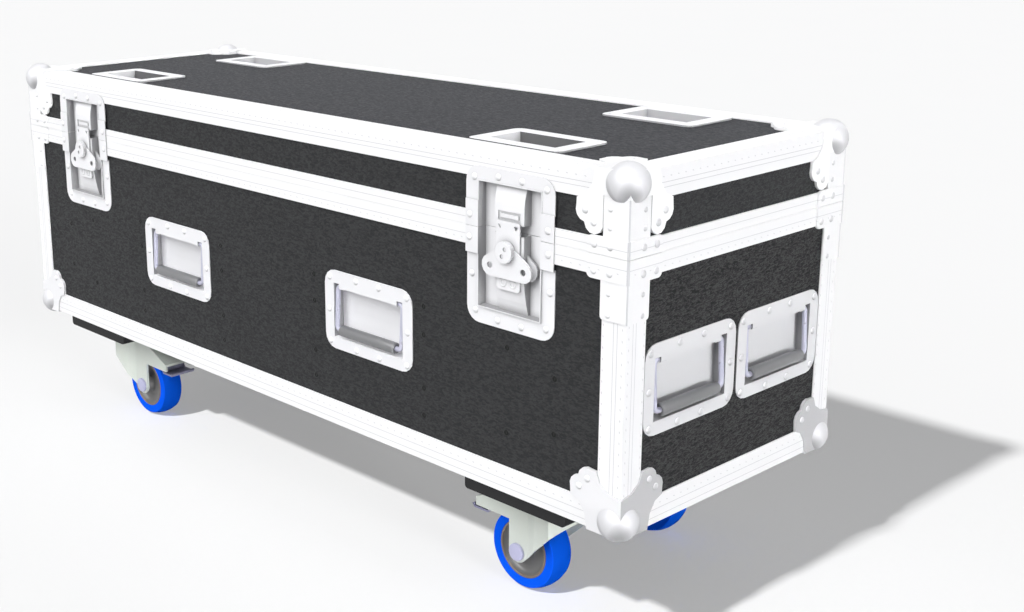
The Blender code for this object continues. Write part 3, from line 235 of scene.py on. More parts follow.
# %% Noise, mixing and spreading
def noise(tree, place, scale, detail=3.0, distortion=0.0):
    """Noise between 0 and 1, with about as many lumps in a metre as its scale."""
    node = tree.nodes.new("ShaderNodeTexNoise")
    node.inputs["Scale"].default_value = scale
    node.inputs["Detail"].default_value = detail
    node.inputs["Distortion"].default_value = distortion
    link(tree, place, node.inputs["Vector"])
    return node.outputs["Fac"]


def mixed(tree, factor, first, second):
    """Colour mix; a colour given as numbers is set on its socket."""
    node = tree.nodes.new("ShaderNodeMix")
    node.data_type = "RGBA"
    link(tree, factor, node.inputs[0])
    for socket, value in ((node.inputs[6], first), (node.inputs[7], second)):
        if isinstance(value, tuple):
            socket.default_value = (*value, 1)
        else:
            link(tree, value, socket)
    return node.outputs[2]


def remapped(tree, value, low, high, to_low, to_high):
    """A value spread so that low becomes to_low and high becomes to_high, and kept between them."""
    node = tree.nodes.new("ShaderNodeMapRange")
    link(tree, value, node.inputs[0])
    for k, number in enumerate((low, high, to_low, to_high)):
        node.inputs[k + 1].default_value = number
    return node.outputs[0]


print("helpers: noise, mixed, remapped")

# %% A new material, its relief, and greys
def new_material(name):
    """A new material with its tree, its shader and the object coordinates."""
    material = bpy.data.materials.new(name)
    material.use_nodes = True
    tree = material.node_tree
    coordinates = tree.nodes.new("ShaderNodeTexCoord")
    return material, tree, tree.nodes["Principled BSDF"], coordinates.outputs["Object"]


def bumped(tree, shader, height, strength, distance):
    """Relief from a height between 0 and 1, as deep as the distance."""
    node = tree.nodes.new("ShaderNodeBump")
    node.inputs["Strength"].default_value = strength
    node.inputs["Distance"].default_value = distance
    link(tree, height, node.inputs["Height"])
    link(tree, node.outputs["Normal"], shader.inputs["Normal"])


def grey(level, blue=0.0):
    """A grey, with a little more blue where zinc or aluminium asks for it."""
    return (level, level, level + blue)


print("a grey", grey(0.5, 0.02))

# %% [markdown]
# ## A plain finish
# Paint, plastic and plated rod are never one flat colour, although that would be the quickest way to draw
# them. Slow noise mottles two near tones, and fine noise moves the roughness and adds a grain that can
# hardly be seen.

# %% Two tones and a fine grain
NOISE_LOW = 0.3             # most of a noise lies between these two
NOISE_HIGH = 0.7
WANDER = 0.03               # how far the roughness moves either way
FINE_GRAIN = 0.000006       # depth of the relief
PAINT_GRAIN = 0.0002


def plain(name, dark, light, roughness, metallic, scale=25.0, bump=FINE_GRAIN, specular=0.5):
    """A finish between two near tones, mottled by slow noise, with a roughness that wanders a little."""
    material, tree, shader, place = new_material(name)
    wide = noise(tree, place, scale)
    fine = noise(tree, place, scale * 5, 2.0)
    wandering = remapped(tree, fine, NOISE_LOW, NOISE_HIGH, roughness - WANDER, roughness + WANDER)
    link(tree, mixed(tree, wide, dark, light), shader.inputs["Base Color"])
    link(tree, wandering, shader.inputs["Roughness"])
    shader.inputs["Metallic"].default_value = metallic
    shader.inputs["Specular IOR Level"].default_value = specular
    bumped(tree, shader, fine, strength=0.15, distance=bump)
    return material


print("grain in metres", FINE_GRAIN, PAINT_GRAIN)

# %% The plain finishes
MATERIALS["board"] = plain("castor_board_paint", (0.011, 0.011, 0.012), (0.018, 0.018, 0.019), 0.6, 0.0,
                           120.0, PAINT_GRAIN, 0.2)
MATERIALS["screw"] = plain("screw_black", grey(0.007), grey(0.010), 0.5, 0.0, 120.0, FINE_GRAIN, 0.15)
MATERIALS["fork"] = plain("castor_steel", (0.61, 0.65, 0.60), (0.66, 0.70, 0.65), 0.45, 0.0, specular=0.3)
MATERIALS["bar"] = plain("bail_steel", (0.46, 0.46, 0.57), (0.52, 0.52, 0.63), 0.30, 0.2)
MATERIALS["bolt"] = plain("bolt_steel", (0.42, 0.42, 0.60), (0.48, 0.48, 0.66), 0.4, 0.1)
MATERIALS["pedal"] = plain("pedal_steel", (0.20, 0.20, 0.31), (0.25, 0.25, 0.36), 0.4, 0.1)
MATERIALS["grip"] = plain("grip_plastic", (0.135, 0.137, 0.142), (0.155, 0.157, 0.163), 0.32, 0.0,
                          specular=0.8)
MATERIALS["hub"] = plain("hub_plastic", grey(0.13), grey(0.16), 0.35, 0.1)
MATERIALS["rim"] = plain("hub_rim", (0.16, 0.125, 0.10), (0.20, 0.155, 0.125), 0.4, 0.1)
print("plain finishes", len(MATERIALS))

# %% [markdown]
# ## Painted light and shade by the way a surface looks
# Faces that look sideways, the undersides of rivets and the tread of a tyre get painted shade, tops get
# painted light, and a plated ball gets a painted dark reflection of the ground below it. More lamps could
# bring this out, but they would change every other piece too. Here the surface's own direction picks the
# painted tone, so it stays right from every side.

# %% Painted light and shade by direction
def directions(tree):
    """The three parts of the surface's own direction."""
    coordinates = tree.nodes.new("ShaderNodeTexCoord")
    facing = tree.nodes.new("ShaderNodeSeparateXYZ")
    link(tree, coordinates.outputs["Normal"], facing.inputs[0])
    return facing.outputs


def mix_painted_light_shade(tree, sheet, axis, low, high, colour, squared=True):
    """A colour, mixed with a painted shade or painted light by the way the surface looks.

    The share is the part of the surface's own direction along one axis, or that part squared, spread so that
    low gives none and high gives the full colour.
    """
    part = directions(tree)[axis]
    if squared:
        part = math_node(tree, "MULTIPLY", part, part)
    share = remapped(tree, part, low, high, 0.0, 1.0)
    return mixed(tree, share, sheet, colour)


def base_colour(material):
    """The tree, its base colour socket, and what is linked to it so far."""
    socket = material.node_tree.nodes["Principled BSDF"].inputs["Base Color"]
    return material.node_tree, socket, socket.links[0].from_socket


def paint_light_shade_by_facing(material, axis, low, high, colour, squared=True):
    """A finished material whose colour then takes painted light or shade by the way it faces."""
    tree, socket, sheet = base_colour(material)
    link(tree, mix_painted_light_shade(tree, sheet, axis, low, high, colour, squared), socket)
    return material


def paint_ball_shade_and_reflection(material, colour):
    """Mix painted shade and reflection into a ball below and along the diagonal on which it stands out of
    its corner.

    The share grows with twice the product of the level parts of the surface's direction, less its upright
    part.
    """
    tree, socket, sheet = base_colour(material)
    x, y, z = directions(tree)
    level = math_node(tree, "ABSOLUTE", math_node(tree, "MULTIPLY", x, y))
    total = math_node(tree, "SUBTRACT", math_node(tree, "MULTIPLY", level, 2.0), z)
    share = remapped(tree, total, 0.55, 1.35, 0.0, 1.0)
    link(tree, mixed(tree, share, sheet, colour), socket)
    return material


print("helpers: directions, toned, faced, polished")

# %% Ball, tyre and rivet
X, Y, Z = range(3)
bright = plain("bright_plate", grey(0.59, 0.02), grey(0.63, 0.02), 0.42, 0.15, specular=0.3)
# Painted shade and reflection: the balls turn grey below and along their outward diagonal.
MATERIALS["ball"] = paint_ball_shade_and_reflection(bright, grey(0.33, 0.01))
blue = plain("tyre_blue", (0.003, 0.096, 0.80), (0.005, 0.104, 0.86), 0.5, 0.0, specular=0.0)
# Painted shade: the tread is a darker blue than the flanks.
MATERIALS["tyre"] = paint_light_shade_by_facing(blue, Y, 0.7, 0.1, (0.003, 0.080, 0.60))
rivet_head = plain("rivet_head", grey(0.80, 0.02), grey(0.84, 0.02), 0.4, 0.1, specular=0.3)
# Painted shade: rivet heads are darker where they face left or right, and darker still where they face down.
paint_light_shade_by_facing(rivet_head, X, 0.25, 0.9, grey(0.60, 0.015))
MATERIALS["rivet"] = paint_light_shade_by_facing(rivet_head, Z, 0.05, -0.7, grey(0.42, 0.01), squared=False)
print("finishes so far", len(MATERIALS))

# %% [markdown]
# ## Embossed laminate
# The boards are covered with black laminate, pressed with wrinkles that run mostly level. Moving the
# surface itself would take millions of faces, so the wrinkles stay in the material. Two noises are
# stretched along the length and added. Their sum gives the relief, and also a painted shade that darkens
# the creases against the ridges.

# %% Wrinkles from two noises
WIDE_WRINKLES = 400.0       # scales of the two noises and of the slow patches
FINE_WRINKLES = 850.0
PATCHES = 14.0
WIDE_SHARE = 0.65
FINE_SHARE = 0.35
CREASE = 0.41               # sums of the two noises that count as crease and as ridge
RIDGE = 0.62


def pebbled(name, dark, light, specular, stretch, relief):
    """Wrinkles with painted shade in the creases, paler on the ridges.

    The object coordinates are multiplied by stretch. A wide noise counts for two thirds and a fine one for
    one third, and their sum is spread so that most of the surface is either crease or ridge.
    """
    material, tree, shader, place = new_material(name)
    squeeze = tree.nodes.new("ShaderNodeVectorMath")
    squeeze.operation = "MULTIPLY"
    squeeze.inputs[1].default_value = stretch
    link(tree, place, squeeze.inputs[0])
    wide = noise(tree, squeeze.outputs[0], WIDE_WRINKLES, detail=1.0, distortion=0.8)
    fine = noise(tree, squeeze.outputs[0], FINE_WRINKLES, detail=1.0, distortion=0.4)
    wide_part = math_node(tree, "MULTIPLY", wide, WIDE_SHARE)
    total = math_node(tree, "MULTIPLY_ADD", fine, FINE_SHARE, wide_part)
    height = remapped(tree, total, CREASE, RIDGE, 0.0, 1.0)
    patches = noise(tree, place, PATCHES, detail=2.0)
    ground = mixed(tree, patches, tuple(0.90 * c for c in light), light)
    # Painted shade: the creases take the dark colour, the ridges the paler ground.
    link(tree, mixed(tree, height, dark, ground), shader.inputs["Base Color"])
    link(tree, remapped(tree, height, 0.0, 1.0, 0.62, 0.46), shader.inputs["Roughness"])
    shader.inputs["Specular IOR Level"].default_value = specular
    bumped(tree, shader, height, strength=0.6, distance=relief)
    return material


print("crease and ridge", CREASE, RIDGE)

# %% The three laminates
# Three copies of one laminate with their own painted shade: deeper creases on the end walls, lighter on the
# top.
MATERIALS["panel"] = pebbled("panel_laminate", (0.024, 0.0245, 0.0255), (0.041, 0.042, 0.0435), 0.08,
                             (0.4, 0.4, 1.0), 0.0004)
MATERIALS["end"] = pebbled("end_laminate", (0.016, 0.016, 0.0165), (0.049, 0.049, 0.050), 0.08,
                           (0.38, 0.38, 1.15), 0.0007)
MATERIALS["top"] = pebbled("top_laminate", (0.036, 0.037, 0.042), (0.046, 0.047, 0.053), 0.04,
                           (0.4, 0.8, 1.0), 0.0002)
print("finishes so far", len(MATERIALS))

# %% [markdown]
# ## Extruded aluminium
# The edge angles and the closing profile leave their die with fine grooves along them and rows of dots.
# As geometry they would be finer than a render can show, so the material draws and sinks them, at set
# distances from the case's corners.

# %% Numbers of the extrusions
BAND_FACE = 0.0025          # how far the closing profile's fittings stand out past the edge angles
GROOVE_HALF = 0.00035       # half widths of a groove and of a row of dots
DOT_HALF = 0.0006
DOT_STEP = 0.006            # half the distance from dot to dot
DOT_REACH = 0.0011          # half the length of a dot
DOT_TONE = 0.8              # share of the line's tone that a dot takes
WHITE_DARK = grey(0.785, 0.01)
WHITE_LIGHT = grey(0.815, 0.01)
# Painted shade on faces that look sideways and painted light on faces that look up.
PAINTED_SIDE_SHADE = grey(0.765, 0.01)
PAINTED_TOP_LIGHT = grey(0.90, 0.01)


def any_level(tree, axes, levels, half):
    """1 where a coordinate lies within half of one of the levels."""
    found = None
    for axis, level in levels:
        here = math_node(tree, "COMPARE", axes[axis], level, half)
        found = here if found is None else math_node(tree, "MAXIMUM", found, here)
    return found


print("dots every", 2 * DOT_STEP)

# %% Grooves and dots
def lined(name, lines, dots, line_tone, edge=None):
    """Extruded profile: fine drawn grooves at set places, and rows of small dots beside them.

    Side faces take a little painted shade and top faces a little painted light. A groove is where the
    distance of a coordinate from a set value is under half a groove's width. A dot is where that holds for a
    row and the sum of x, y and z, folded back and forth over one step, is small. With an edge value, a
    painted shadow line runs down the upright corners too, where x and y both lie less than that behind the
    outer faces.
    """
    material, tree, shader, place = new_material(name)
    split = tree.nodes.new("ShaderNodeSeparateXYZ")
    link(tree, place, split.inputs[0])
    x = math_node(tree, "ABSOLUTE", split.outputs[X])
    y = math_node(tree, "ABSOLUTE", split.outputs[Y])
    axes = (x, y, split.outputs[Z])
    grooves = any_level(tree, axes, lines, GROOVE_HALF)
    level_run = math_node(tree, "ADD", split.outputs[X], split.outputs[Y])
    cell = math_node(tree, "PINGPONG", math_node(tree, "ADD", level_run, split.outputs[Z]), DOT_STEP)
    near = math_node(tree, "LESS_THAN", cell, DOT_REACH)
    spots = math_node(tree, "MULTIPLY", any_level(tree, axes, dots, DOT_HALF), near)
    marks = math_node(tree, "MAXIMUM", grooves, math_node(tree, "MULTIPLY", spots, DOT_TONE))
    # Painted shadow line: the upright corners are darkened and sunk like a groove.
    if edge is not None:
        far_x = math_node(tree, "GREATER_THAN", x, HALF_X + BAND_FACE - edge)
        far_y = math_node(tree, "GREATER_THAN", y, HALF_Y + BAND_FACE - edge)
        marks = math_node(tree, "MAXIMUM", marks, math_node(tree, "MULTIPLY", far_x, far_y))
    fine = noise(tree, place, 500.0)
    sheet = mixed(tree, noise(tree, place, 30.0), WHITE_DARK, WHITE_LIGHT)
    # Painted shade on the side faces, then painted light on the top faces.
    sheet = mix_painted_light_shade(tree, sheet, X, 0.3, 1.0, PAINTED_SIDE_SHADE)
    sheet = mix_painted_light_shade(tree, sheet, Z, 0.3, 1.0, PAINTED_TOP_LIGHT, squared=False)
    link(tree, mixed(tree, marks, sheet, line_tone), shader.inputs["Base Color"])
    link(tree, remapped(tree, fine, NOISE_LOW, NOISE_HIGH, 0.36, 0.48), shader.inputs["Roughness"])
    shader.inputs["Specular IOR Level"].default_value = 0.06
    height = math_node(tree, "MULTIPLY_ADD", marks, -1.0, math_node(tree, "MULTIPLY", fine, 0.04))
    bumped(tree, shader, height, strength=0.5, distance=0.0003)
    return material


print("helper: lined, with grooves as wide as", 2 * GROOVE_HALF)

# %% Edge angle and closing profile
angle_grooves = [(X, HALF_X - 0.0158), (Y, HALF_Y - 0.0158), (Z, TOP - 0.0158), (Z, BOTTOM + 0.0158),
                 (Z, TOP - 0.0210), (Z, BOTTOM + 0.0070), (X, HALF_X - 0.0110), (Y, HALF_Y - 0.0110)]
angle_dots = [(Z, BOTTOM + 0.0216), (Z, TOP - 0.0100), (X, HALF_X - 0.0046), (X, HALF_X - 0.0290),
              (Y, HALF_Y - 0.0046), (Y, HALF_Y - 0.0290)]
band_grooves = [(Z, SEAM + 0.0085), (Z, SEAM - 0.0105)]
MATERIALS["angle"] = lined("edge_angle", angle_grooves, angle_dots, grey(0.55, 0.02))
# Its edge value paints a shadow line down each upright corner of the closing profile.
MATERIALS["band"] = lined("closing_profile", band_grooves, [(Z, SEAM - 0.0155)], grey(0.58, 0.02),
                          edge=0.0022)
print("finishes so far", len(MATERIALS))

# %% [markdown]
# ## Pressed zinc plate
# Dishes, cups, latches and corners are pressed from sheet and zinc plated, nearly white. Their hollows get
# painted shade, and so do faces by the way they look. Shades painted by hand would have to be done again for
# each shape. Ambient occlusion measures how open a place is within a few millimetres, and that mixes the
# plate with a painted shade. In the front handle dishes it mixes in painted light instead, so their floors
# come out pale.

# %% Zinc with painted shade in its hollows
ZINC_DARK = grey(0.728, 0.018)
ZINC_LIGHT = grey(0.758, 0.018)
PAINTED_HOLLOW_SHADE = grey(0.25, 0.005)


def pressed(name, dark, light, shade, reach, tones=()):
    """Pressed sheet: a plain finish that turns towards a painted shade in corners and hollows.

    Faces that look along the length, across it, or up and down first take painted shade, in that order,
    towards so many times the plate's middle colour; a factor above one gives painted light. The share of
    open directions within reach then mixes that painted shade and the sheet; for the front dishes it is
    painted light.
    """
    material = plain(name, dark, light, 0.36, 0.0, specular=0.07)
    middle = [0.5 * (a + b) for a, b in zip(dark, light)]
    # Painted light and shade by facing.
    for axis, tone in enumerate(tones):
        if tone != 1.0:
            paint_light_shade_by_facing(material, axis, 0.0, 1.0, tuple(tone * c for c in middle))
    tree, socket, sheet = base_colour(material)
    near = tree.nodes.new("ShaderNodeAmbientOcclusion")
    near.samples = 8
    near.inputs["Distance"].default_value = reach
    # Painted shade in hollows, or painted light for the front dishes: the less open a place, the more of
    # that colour.
    link(tree, mixed(tree, near.outputs["AO"], shade, sheet), socket)
    return material


print("zinc", ZINC_DARK, ZINC_LIGHT)

# %% The pressed finishes
# Painted shade: faces that look left or right are darker on the plain zinc, and on the end walls' dishes the
# whole flange a little and faces that look along the wall much more.
MATERIALS["steel"] = pressed("zinc_plate", ZINC_DARK, ZINC_LIGHT, PAINTED_HOLLOW_SHADE, 0.008, (0.50, 1.0))
MATERIALS["end_dish"] = pressed("end_dish_plate", ZINC_DARK, ZINC_LIGHT, PAINTED_HOLLOW_SHADE, 0.008, (0.86, 0.50))
# The cups are one plate in two copies with their own painted shade: faces that look forwards or back are
# darker, far more in the front cups, faces that look up get painted light, and the hollows a dark painted
# shade.
MATERIALS["cup_front"] = pressed("cup_plate_front", ZINC_DARK, ZINC_LIGHT, grey(0.12), 0.012,
                                 (0.90, 0.16, 1.16))
MATERIALS["cup_rear"] = pressed("cup_plate_rear", ZINC_DARK, ZINC_LIGHT, grey(0.30, 0.01), 0.012,
                                (0.72, 0.55, 1.16))
# Painted shade: the lower corner plates are darker where they face left or right, and both kinds in their
# hollows; the lid's plates are a paler copy.
MATERIALS["low_corner"] = pressed("corner_plate", ZINC_DARK, ZINC_LIGHT, grey(0.4), 0.003, (0.62, 1.0))
MATERIALS["top_corner"] = pressed("lid_corner_plate", grey(0.82, 0.01), grey(0.85, 0.01), grey(0.5), 0.002)
# Painted shade: in the latch dishes faces that look left or right, up or down are darker, and so are the
# hollows.
MATERIALS["latch_dish"] = pressed("latch_dish_plate", grey(0.75, 0.018), grey(0.78, 0.018),
                                  grey(0.30, 0.005), 0.008, (0.46, 1.0, 0.42))
# Painted light and shade: the front dishes' hollows take a paler colour, and faces that look left or right a
# much darker one.
front_plate = pressed("front_dish_plate", grey(0.725, 0.02), grey(0.755, 0.02), grey(0.96, 0.02), 0.02)
MATERIALS["dish"] = paint_light_shade_by_facing(front_plate, X, 0.0, 1.0, grey(0.37, 0.01))
print("finishes", len(MATERIALS))

# %% [markdown]
# ## Dressing the solids
# Each solid keeps its shape and gets its finish by its name, so one rule serves both sides of the case.
# Pressed pieces also get a small bevel, because bent sheet has no sharp edge and a sharp one catches no
# light. As a modifier it leaves the solid's own mesh as it is.

# %% Which finish a solid takes
FINISH_BY_WORD = {"panel": "panel", "panels": "panel", "board": "board", "fork": "fork", "pedal": "pedal"}
FINISH_BY_START = {"lid_top_panel": "top", "base_left_panel": "end", "base_right_panel": "end",
                   "base_edge_frame": "angle", "lid_edge_frame": "angle",
                   "base_closing_frame": "band", "lid_closing_frame": "band",
                   "base_ball_corner": "low_corner", "lid_ball_corner": "top_corner",
                   "stacking_cup_front": "cup_front", "stacking_cup_rear": "cup_rear",
                   "handle_dish_left": "end_dish", "handle_dish_right": "end_dish",
                   "handle_dish_front": "dish", "latch_base": "latch_dish"}


def dress(thing, key):
    """Give an object one finish and no other."""
    thing.data.materials.clear()
    thing.data.materials.append(MATERIALS[key])


def finish_of(name):
    """The finish by a node's whole start where one is listed, else by a word in its name, else zinc."""
    for start, key in FINISH_BY_START.items():
        if name.startswith(start):
            return key
    for word in name.split("_"):
        if word in FINISH_BY_WORD:
            return FINISH_BY_WORD[word]
    return "steel"


print("a latch's base takes", finish_of("latch_base_left"))

# %% Finish and soft edges on every solid
EDGE_WIDTH = 0.0007
for name, thing in frame["nodes"].items():
    dress(thing, finish_of(name))
    if name.startswith(("handle_dish", "latch_", "stacking_cup")):
        edge = thing.modifiers.new("soft_edges", "BEVEL")
        edge.width = EDGE_WIDTH
        edge.segments = 2
        edge.limit_method = "ANGLE"
        edge.angle_limit = math.radians(50)
print("dressed", len(frame["nodes"]))

# %% [markdown]
# ## Rivet heads
# Every plate is held by rivets with low domed heads. A flat disc would do from afar, but only a dome
# catches the light on one side. Its profile is an ellipse: height times the sine of an angle, radius
# times its cosine. Every head rides on the body whose plate it holds, so there is one list for the base
# and one for the lid.

# %% A dome, and a place on a wall
def dome(radius, height, rings=5, sides=16):
    """A low elliptical dome on the plane Z = 0, with a short skirt under it."""
    t = np.linspace(0, math.pi / 2, rings)
    cap = np.column_stack((radius * np.cos(t), height * np.sin(t)))
    return lathe(np.vstack(([radius, -height * 0.3], cap)), sides)


def on_wall(wall, along, height, depth):
    """Place of something that stands on a wall: its Z points out of the wall."""
    outwards = Matrix.Rotation(math.pi / 2, 4, "X")
    return wall_matrix(wall, along, height) @ Matrix.Translation((0, depth, 0)) @ outwards


def add(name, part, finish, body, sharp=None):
    """A finished piece that rides on a body."""
    piece = build(name, part[0], part[1], sharp)
    dress(piece, finish)
    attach(piece, body)
    return piece


RIVET = dome(0.0040, 0.0016)
SMALL_RIVET = dome(0.0030, 0.0011)
base_rivets = []
lid_rivets = []
print("faces of a rivet", len(RIVET[1]))

# %% [markdown]
# ## Rivets of the handle dishes
# Each dish is held by ten: one in each corner, two along the top and bottom, and one at each end. Their
# places are given from the dish's middle, so that the same ten serve all six dishes.

# %% Ten rivets for each dish
handle_spots = [(-0.069, 0.0404), (0.069, 0.0404), (-0.069, -0.0414), (0.069, -0.0414),
                (-0.0205, 0.0428), (0.0205, 0.0428), (-0.0205, -0.0444), (0.0205, -0.0444),
                (-0.0705, -0.0008), (0.0705, -0.0008)]
HANDLE_FLANGE = 0.0         # the flanges lie flush with the edge angles
for wall, _, along in HANDLES:
    base_rivets += [on_wall(wall, along + u, HANDLE_Z + z, HANDLE_FLANGE) for u, z in handle_spots]
print("rivets in the dishes", len(base_rivets))

# %% [markdown]
# ## Rivets of the latches
# A latch's dish is in two halves, one on the lid and one on the base. Its flange steps out where it lies
# over the closing profile, so the rivets there stand further out than those on the board. Each spot
# therefore carries a depth as well, and both latches use the same two lists.

# %% Rivets of the lid half and the base half
LID_FLANGE = -0.0015        # depths of the latch flanges, measured inwards from the edge angles
BASE_FLANGE = 0.0003
upper_spots = [(-0.0513, 0.0542, LID_FLANGE), (-0.0162, 0.0581, LID_FLANGE), (0.0176, 0.0581, LID_FLANGE),
               (0.052, 0.0542, LID_FLANGE), (-0.0575, 0.0124, -BAND_FACE), (0.055, 0.0124, -BAND_FACE)]
lower_spots = [(-0.058, -0.0128, -BAND_FACE), (0.0557, -0.0128, -BAND_FACE), (-0.0562, -0.0540, BASE_FLANGE),
               (0.0569, -0.0540, BASE_FLANGE), (-0.0506, -0.0945, BASE_FLANGE),
               (-0.0175, -0.1000, BASE_FLANGE), (0.017, -0.1000, BASE_FLANGE), (0.052, -0.0945, BASE_FLANGE)]
for x in (-LATCH_X, LATCH_X):
    lid_rivets += [on_wall("front", x + u, SEAM + z, depth) for u, z, depth in upper_spots]
    base_rivets += [on_wall("front", x + u, SEAM + z, depth) for u, z, depth in lower_spots]
print("rivets so far", len(base_rivets), len(lid_rivets))

# %% [markdown]
# ## Rivets at the upright edges
# Angle braces hold the mitred corners of the closing profile, and folded covers hide the cut ends of the
# posts above and below. Both are riveted on each side of all four edges, the covers with smaller heads.
# One loop over walls and sides keeps the edges alike.

# %% Rivets along the four upright edges
COVER_FACE = -0.0015
COVER_MIDDLE = 0.0229       # from the upright edge to a cover's middle
EDGES = [(wall, HALF_X if wall in ("front", "rear") else HALF_Y, side)
         for wall in WALLS for side in (-1, 1)]
small_lid = []
small_base = []
for wall, half, side in EDGES:
    for inset in (0.0213, 0.0416):
        lid_rivets.append(on_wall(wall, side * (half - inset), SEAM + 0.0100, -BAND_FACE))
        base_rivets.append(on_wall(wall, side * (half - inset), SEAM - 0.0172, -BAND_FACE))
    middle = side * (half - COVER_MIDDLE)
    small_lid += [on_wall(wall, middle, TOP - drop, COVER_FACE) for drop in (0.0382, 0.0572)]
    small_base += [on_wall(wall, middle, SEAM - drop, COVER_FACE) for drop in (0.0385, 0.0608)]
print("small rivets", len(small_lid) + len(small_base))

# %% [markdown]
# ## Rivets of the ball corners
# A ball corner has three lobed leaves, on two walls and on the top or bottom, with two rivets in each
# lobe. The leaves on the walls follow the loop over the edges, and those on the top and bottom only need
# a height. The heads on the bottom are turned over.

# %% Rivets in the lobes
LOBE_FACE = 0.0019
LOBES = [(0.0433, 0.0544), (0.0544, 0.0433)]    # distances from the two edges that meet beside the lobes
for wall, half, side in EDGES:
    for u, h in LOBES:
        lid_rivets.append(on_wall(wall, side * (half - u), TOP - h, -LOBE_FACE))
        base_rivets.append(on_wall(wall, side * (half - u), BOTTOM + h, -LOBE_FACE))
upside_down = Matrix.Rotation(math.pi, 4, "X")
for sx, sy in CORNERS:
    for u, h in LOBES:
        x = sx * (HALF_X - u)
        y = sy * (HALF_Y - h)
        lid_rivets.append(Matrix.Translation((x, y, TOP + LOBE_FACE)))
        base_rivets.append(Matrix.Translation((x, y, BOTTOM - LOBE_FACE)) @ upside_down)
print("rivets", len(base_rivets) + len(lid_rivets))

# %% [markdown]
# ## Rivets of the stacking cups, and the rings on the latches
# A cup has one small rivet in each corner of its flange and one in the middle of each long edge. The tab
# below each butterfly carries two small pressed rings, which are turned like the rivets. Then every list
# is complete and becomes one mesh.

# %% Rivets of the cups
CUP_X = 0.399
CUP_Y = 0.114
CUP_FACE = 0.0003
cup_spots = [(a * 0.059, b * 0.0355) for a in (-1, 1) for b in (-1, 1)] + [(0, -0.0345), (0, 0.0345)]
for sx, sy in CORNERS:
    small_lid += [Matrix.Translation((sx * CUP_X + u, sy * CUP_Y + v, TOP + CUP_FACE))
                  for u, v in cup_spots]
print("rivets of a cup", len(cup_spots))

# %% Rings, and every list as a mesh
RING = lathe([(0.0022, 0.0), (0.0028, 0.0007), (0.0037, 0.0009), (0.0046, 0.0007), (0.0052, 0.0)], 20)
RING_DROP = 0.0545          # from the lid joint down to the rings
TAB_FACE = -0.0022
ring_places = [on_wall("front", x + u, SEAM - RING_DROP, TAB_FACE) for x in (-LATCH_X, LATCH_X)
               for u in (-0.0075, 0.0065)]
add("tab_rings", many(RING, ring_places), "steel", "base")
add("base_rivets", many(RIVET, base_rivets), "rivet", "base")
add("lid_rivets", many(RIVET, lid_rivets), "rivet", "lid")
add("base_small_rivets", many(SMALL_RIVET, small_base), "rivet", "base")
add("lid_small_rivets", many(SMALL_RIVET, small_lid), "rivet", "lid")
print("all rivets", len(base_rivets) + len(lid_rivets) + len(small_base) + len(small_lid))

# %% [markdown]
# ## Flush screws in the boards
# Dark screw heads lie almost flush in the front board in short columns. A countersunk hole would have to
# be cut into the solid, so each head is a low ring with a shallow drive in it, laid on the board.

# %% Columns of screws
UNIT = 0.00098333           # the columns are given in 1200ths of the length, from the lower left corner
MIDDLE = 600
BOARD_FACE = 0.0018         # how far the board lies behind the edge angles
SCREW_COLUMNS = {97.7: (154, 89.4), 165: (171, 71.7), 300: (191, 154, 87, 55),
                 500: (190.5, 155.5, 91, 55.5), 701: (190, 155.5, 89.5, 55.5),
                 902: (190, 155.5, 89.5, 55.5), 1035: (171, 71.7), 1104.6: (152.5, 89.4)}
SCREW = lathe([(0.0, 0.00025), (0.0012, 0.00025), (0.0016, 0.0005), (0.0032, 0.0005), (0.0036, -0.0003)], 16)
screws = [on_wall("front", (x - MIDDLE) * UNIT, z * UNIT + BOTTOM, BOARD_FACE)
          for x, levels in SCREW_COLUMNS.items() for z in levels]
add("board_screws", many(SCREW, screws), "screw", "base")
print("screws", len(screws))

# %% [markdown]
# ## Handle bars and grips
# The bar is bent from round rod: out of the sleeve, round a bend, down the arm, round the lower bend and
# into the grip. A curve object would do, but a path of short straights and quarter circles gives even
# rings at known places. The grip is a turned sleeve with rounded ends. The fine bar takes the place of
# the coarser solid and moves with it.

# %% The path of a bar
def bend(centre, radius, start, end, steps=7):
    """Points of a circular arc in the plane of X and Z: centre plus radius times cosine and sine."""
    a = np.radians(np.linspace(start, end, steps))
    return np.column_stack((centre[0] + radius * np.cos(a), centre[1] + radius * np.sin(a)))


ARM = 0.0582                # half the width between the arms
DROP = 0.055                # from the pivot to the grip
BEND = 0.006
LEAN = 0.003                # how far the bar leans out at the grip
BAR_RADIUS = 0.0030
PIVOT_UP = 0.0300           # the pivot from the dish's middle, upwards and inwards
PIVOT_IN = 0.0050


def bail_path():
    """The bar's middle line in the wall's frame, from the pivot at the origin.

    It leans out as it goes down: y = lean z / drop. The second half is the first with x reversed.
    """
    inner = ARM - BEND
    upper = bend((inner, -BEND), BEND, 90, 0)[1:]
    lower = bend((inner, -DROP + BEND), BEND, 0, -90)
    sleeve = [(0.041, 0.0), (inner, 0.0)]
    arm = [(ARM, -0.02), (ARM, -0.035)]
    half = np.vstack((sleeve, upper, arm, lower, [(0.040, -DROP)]))
    path = np.vstack((half, half[::-1] * (-1, 1)))
    return np.column_stack((path[:, 0], LEAN / DROP * path[:, 1], path[:, 1]))


print("points along a bar", len(bail_path()))

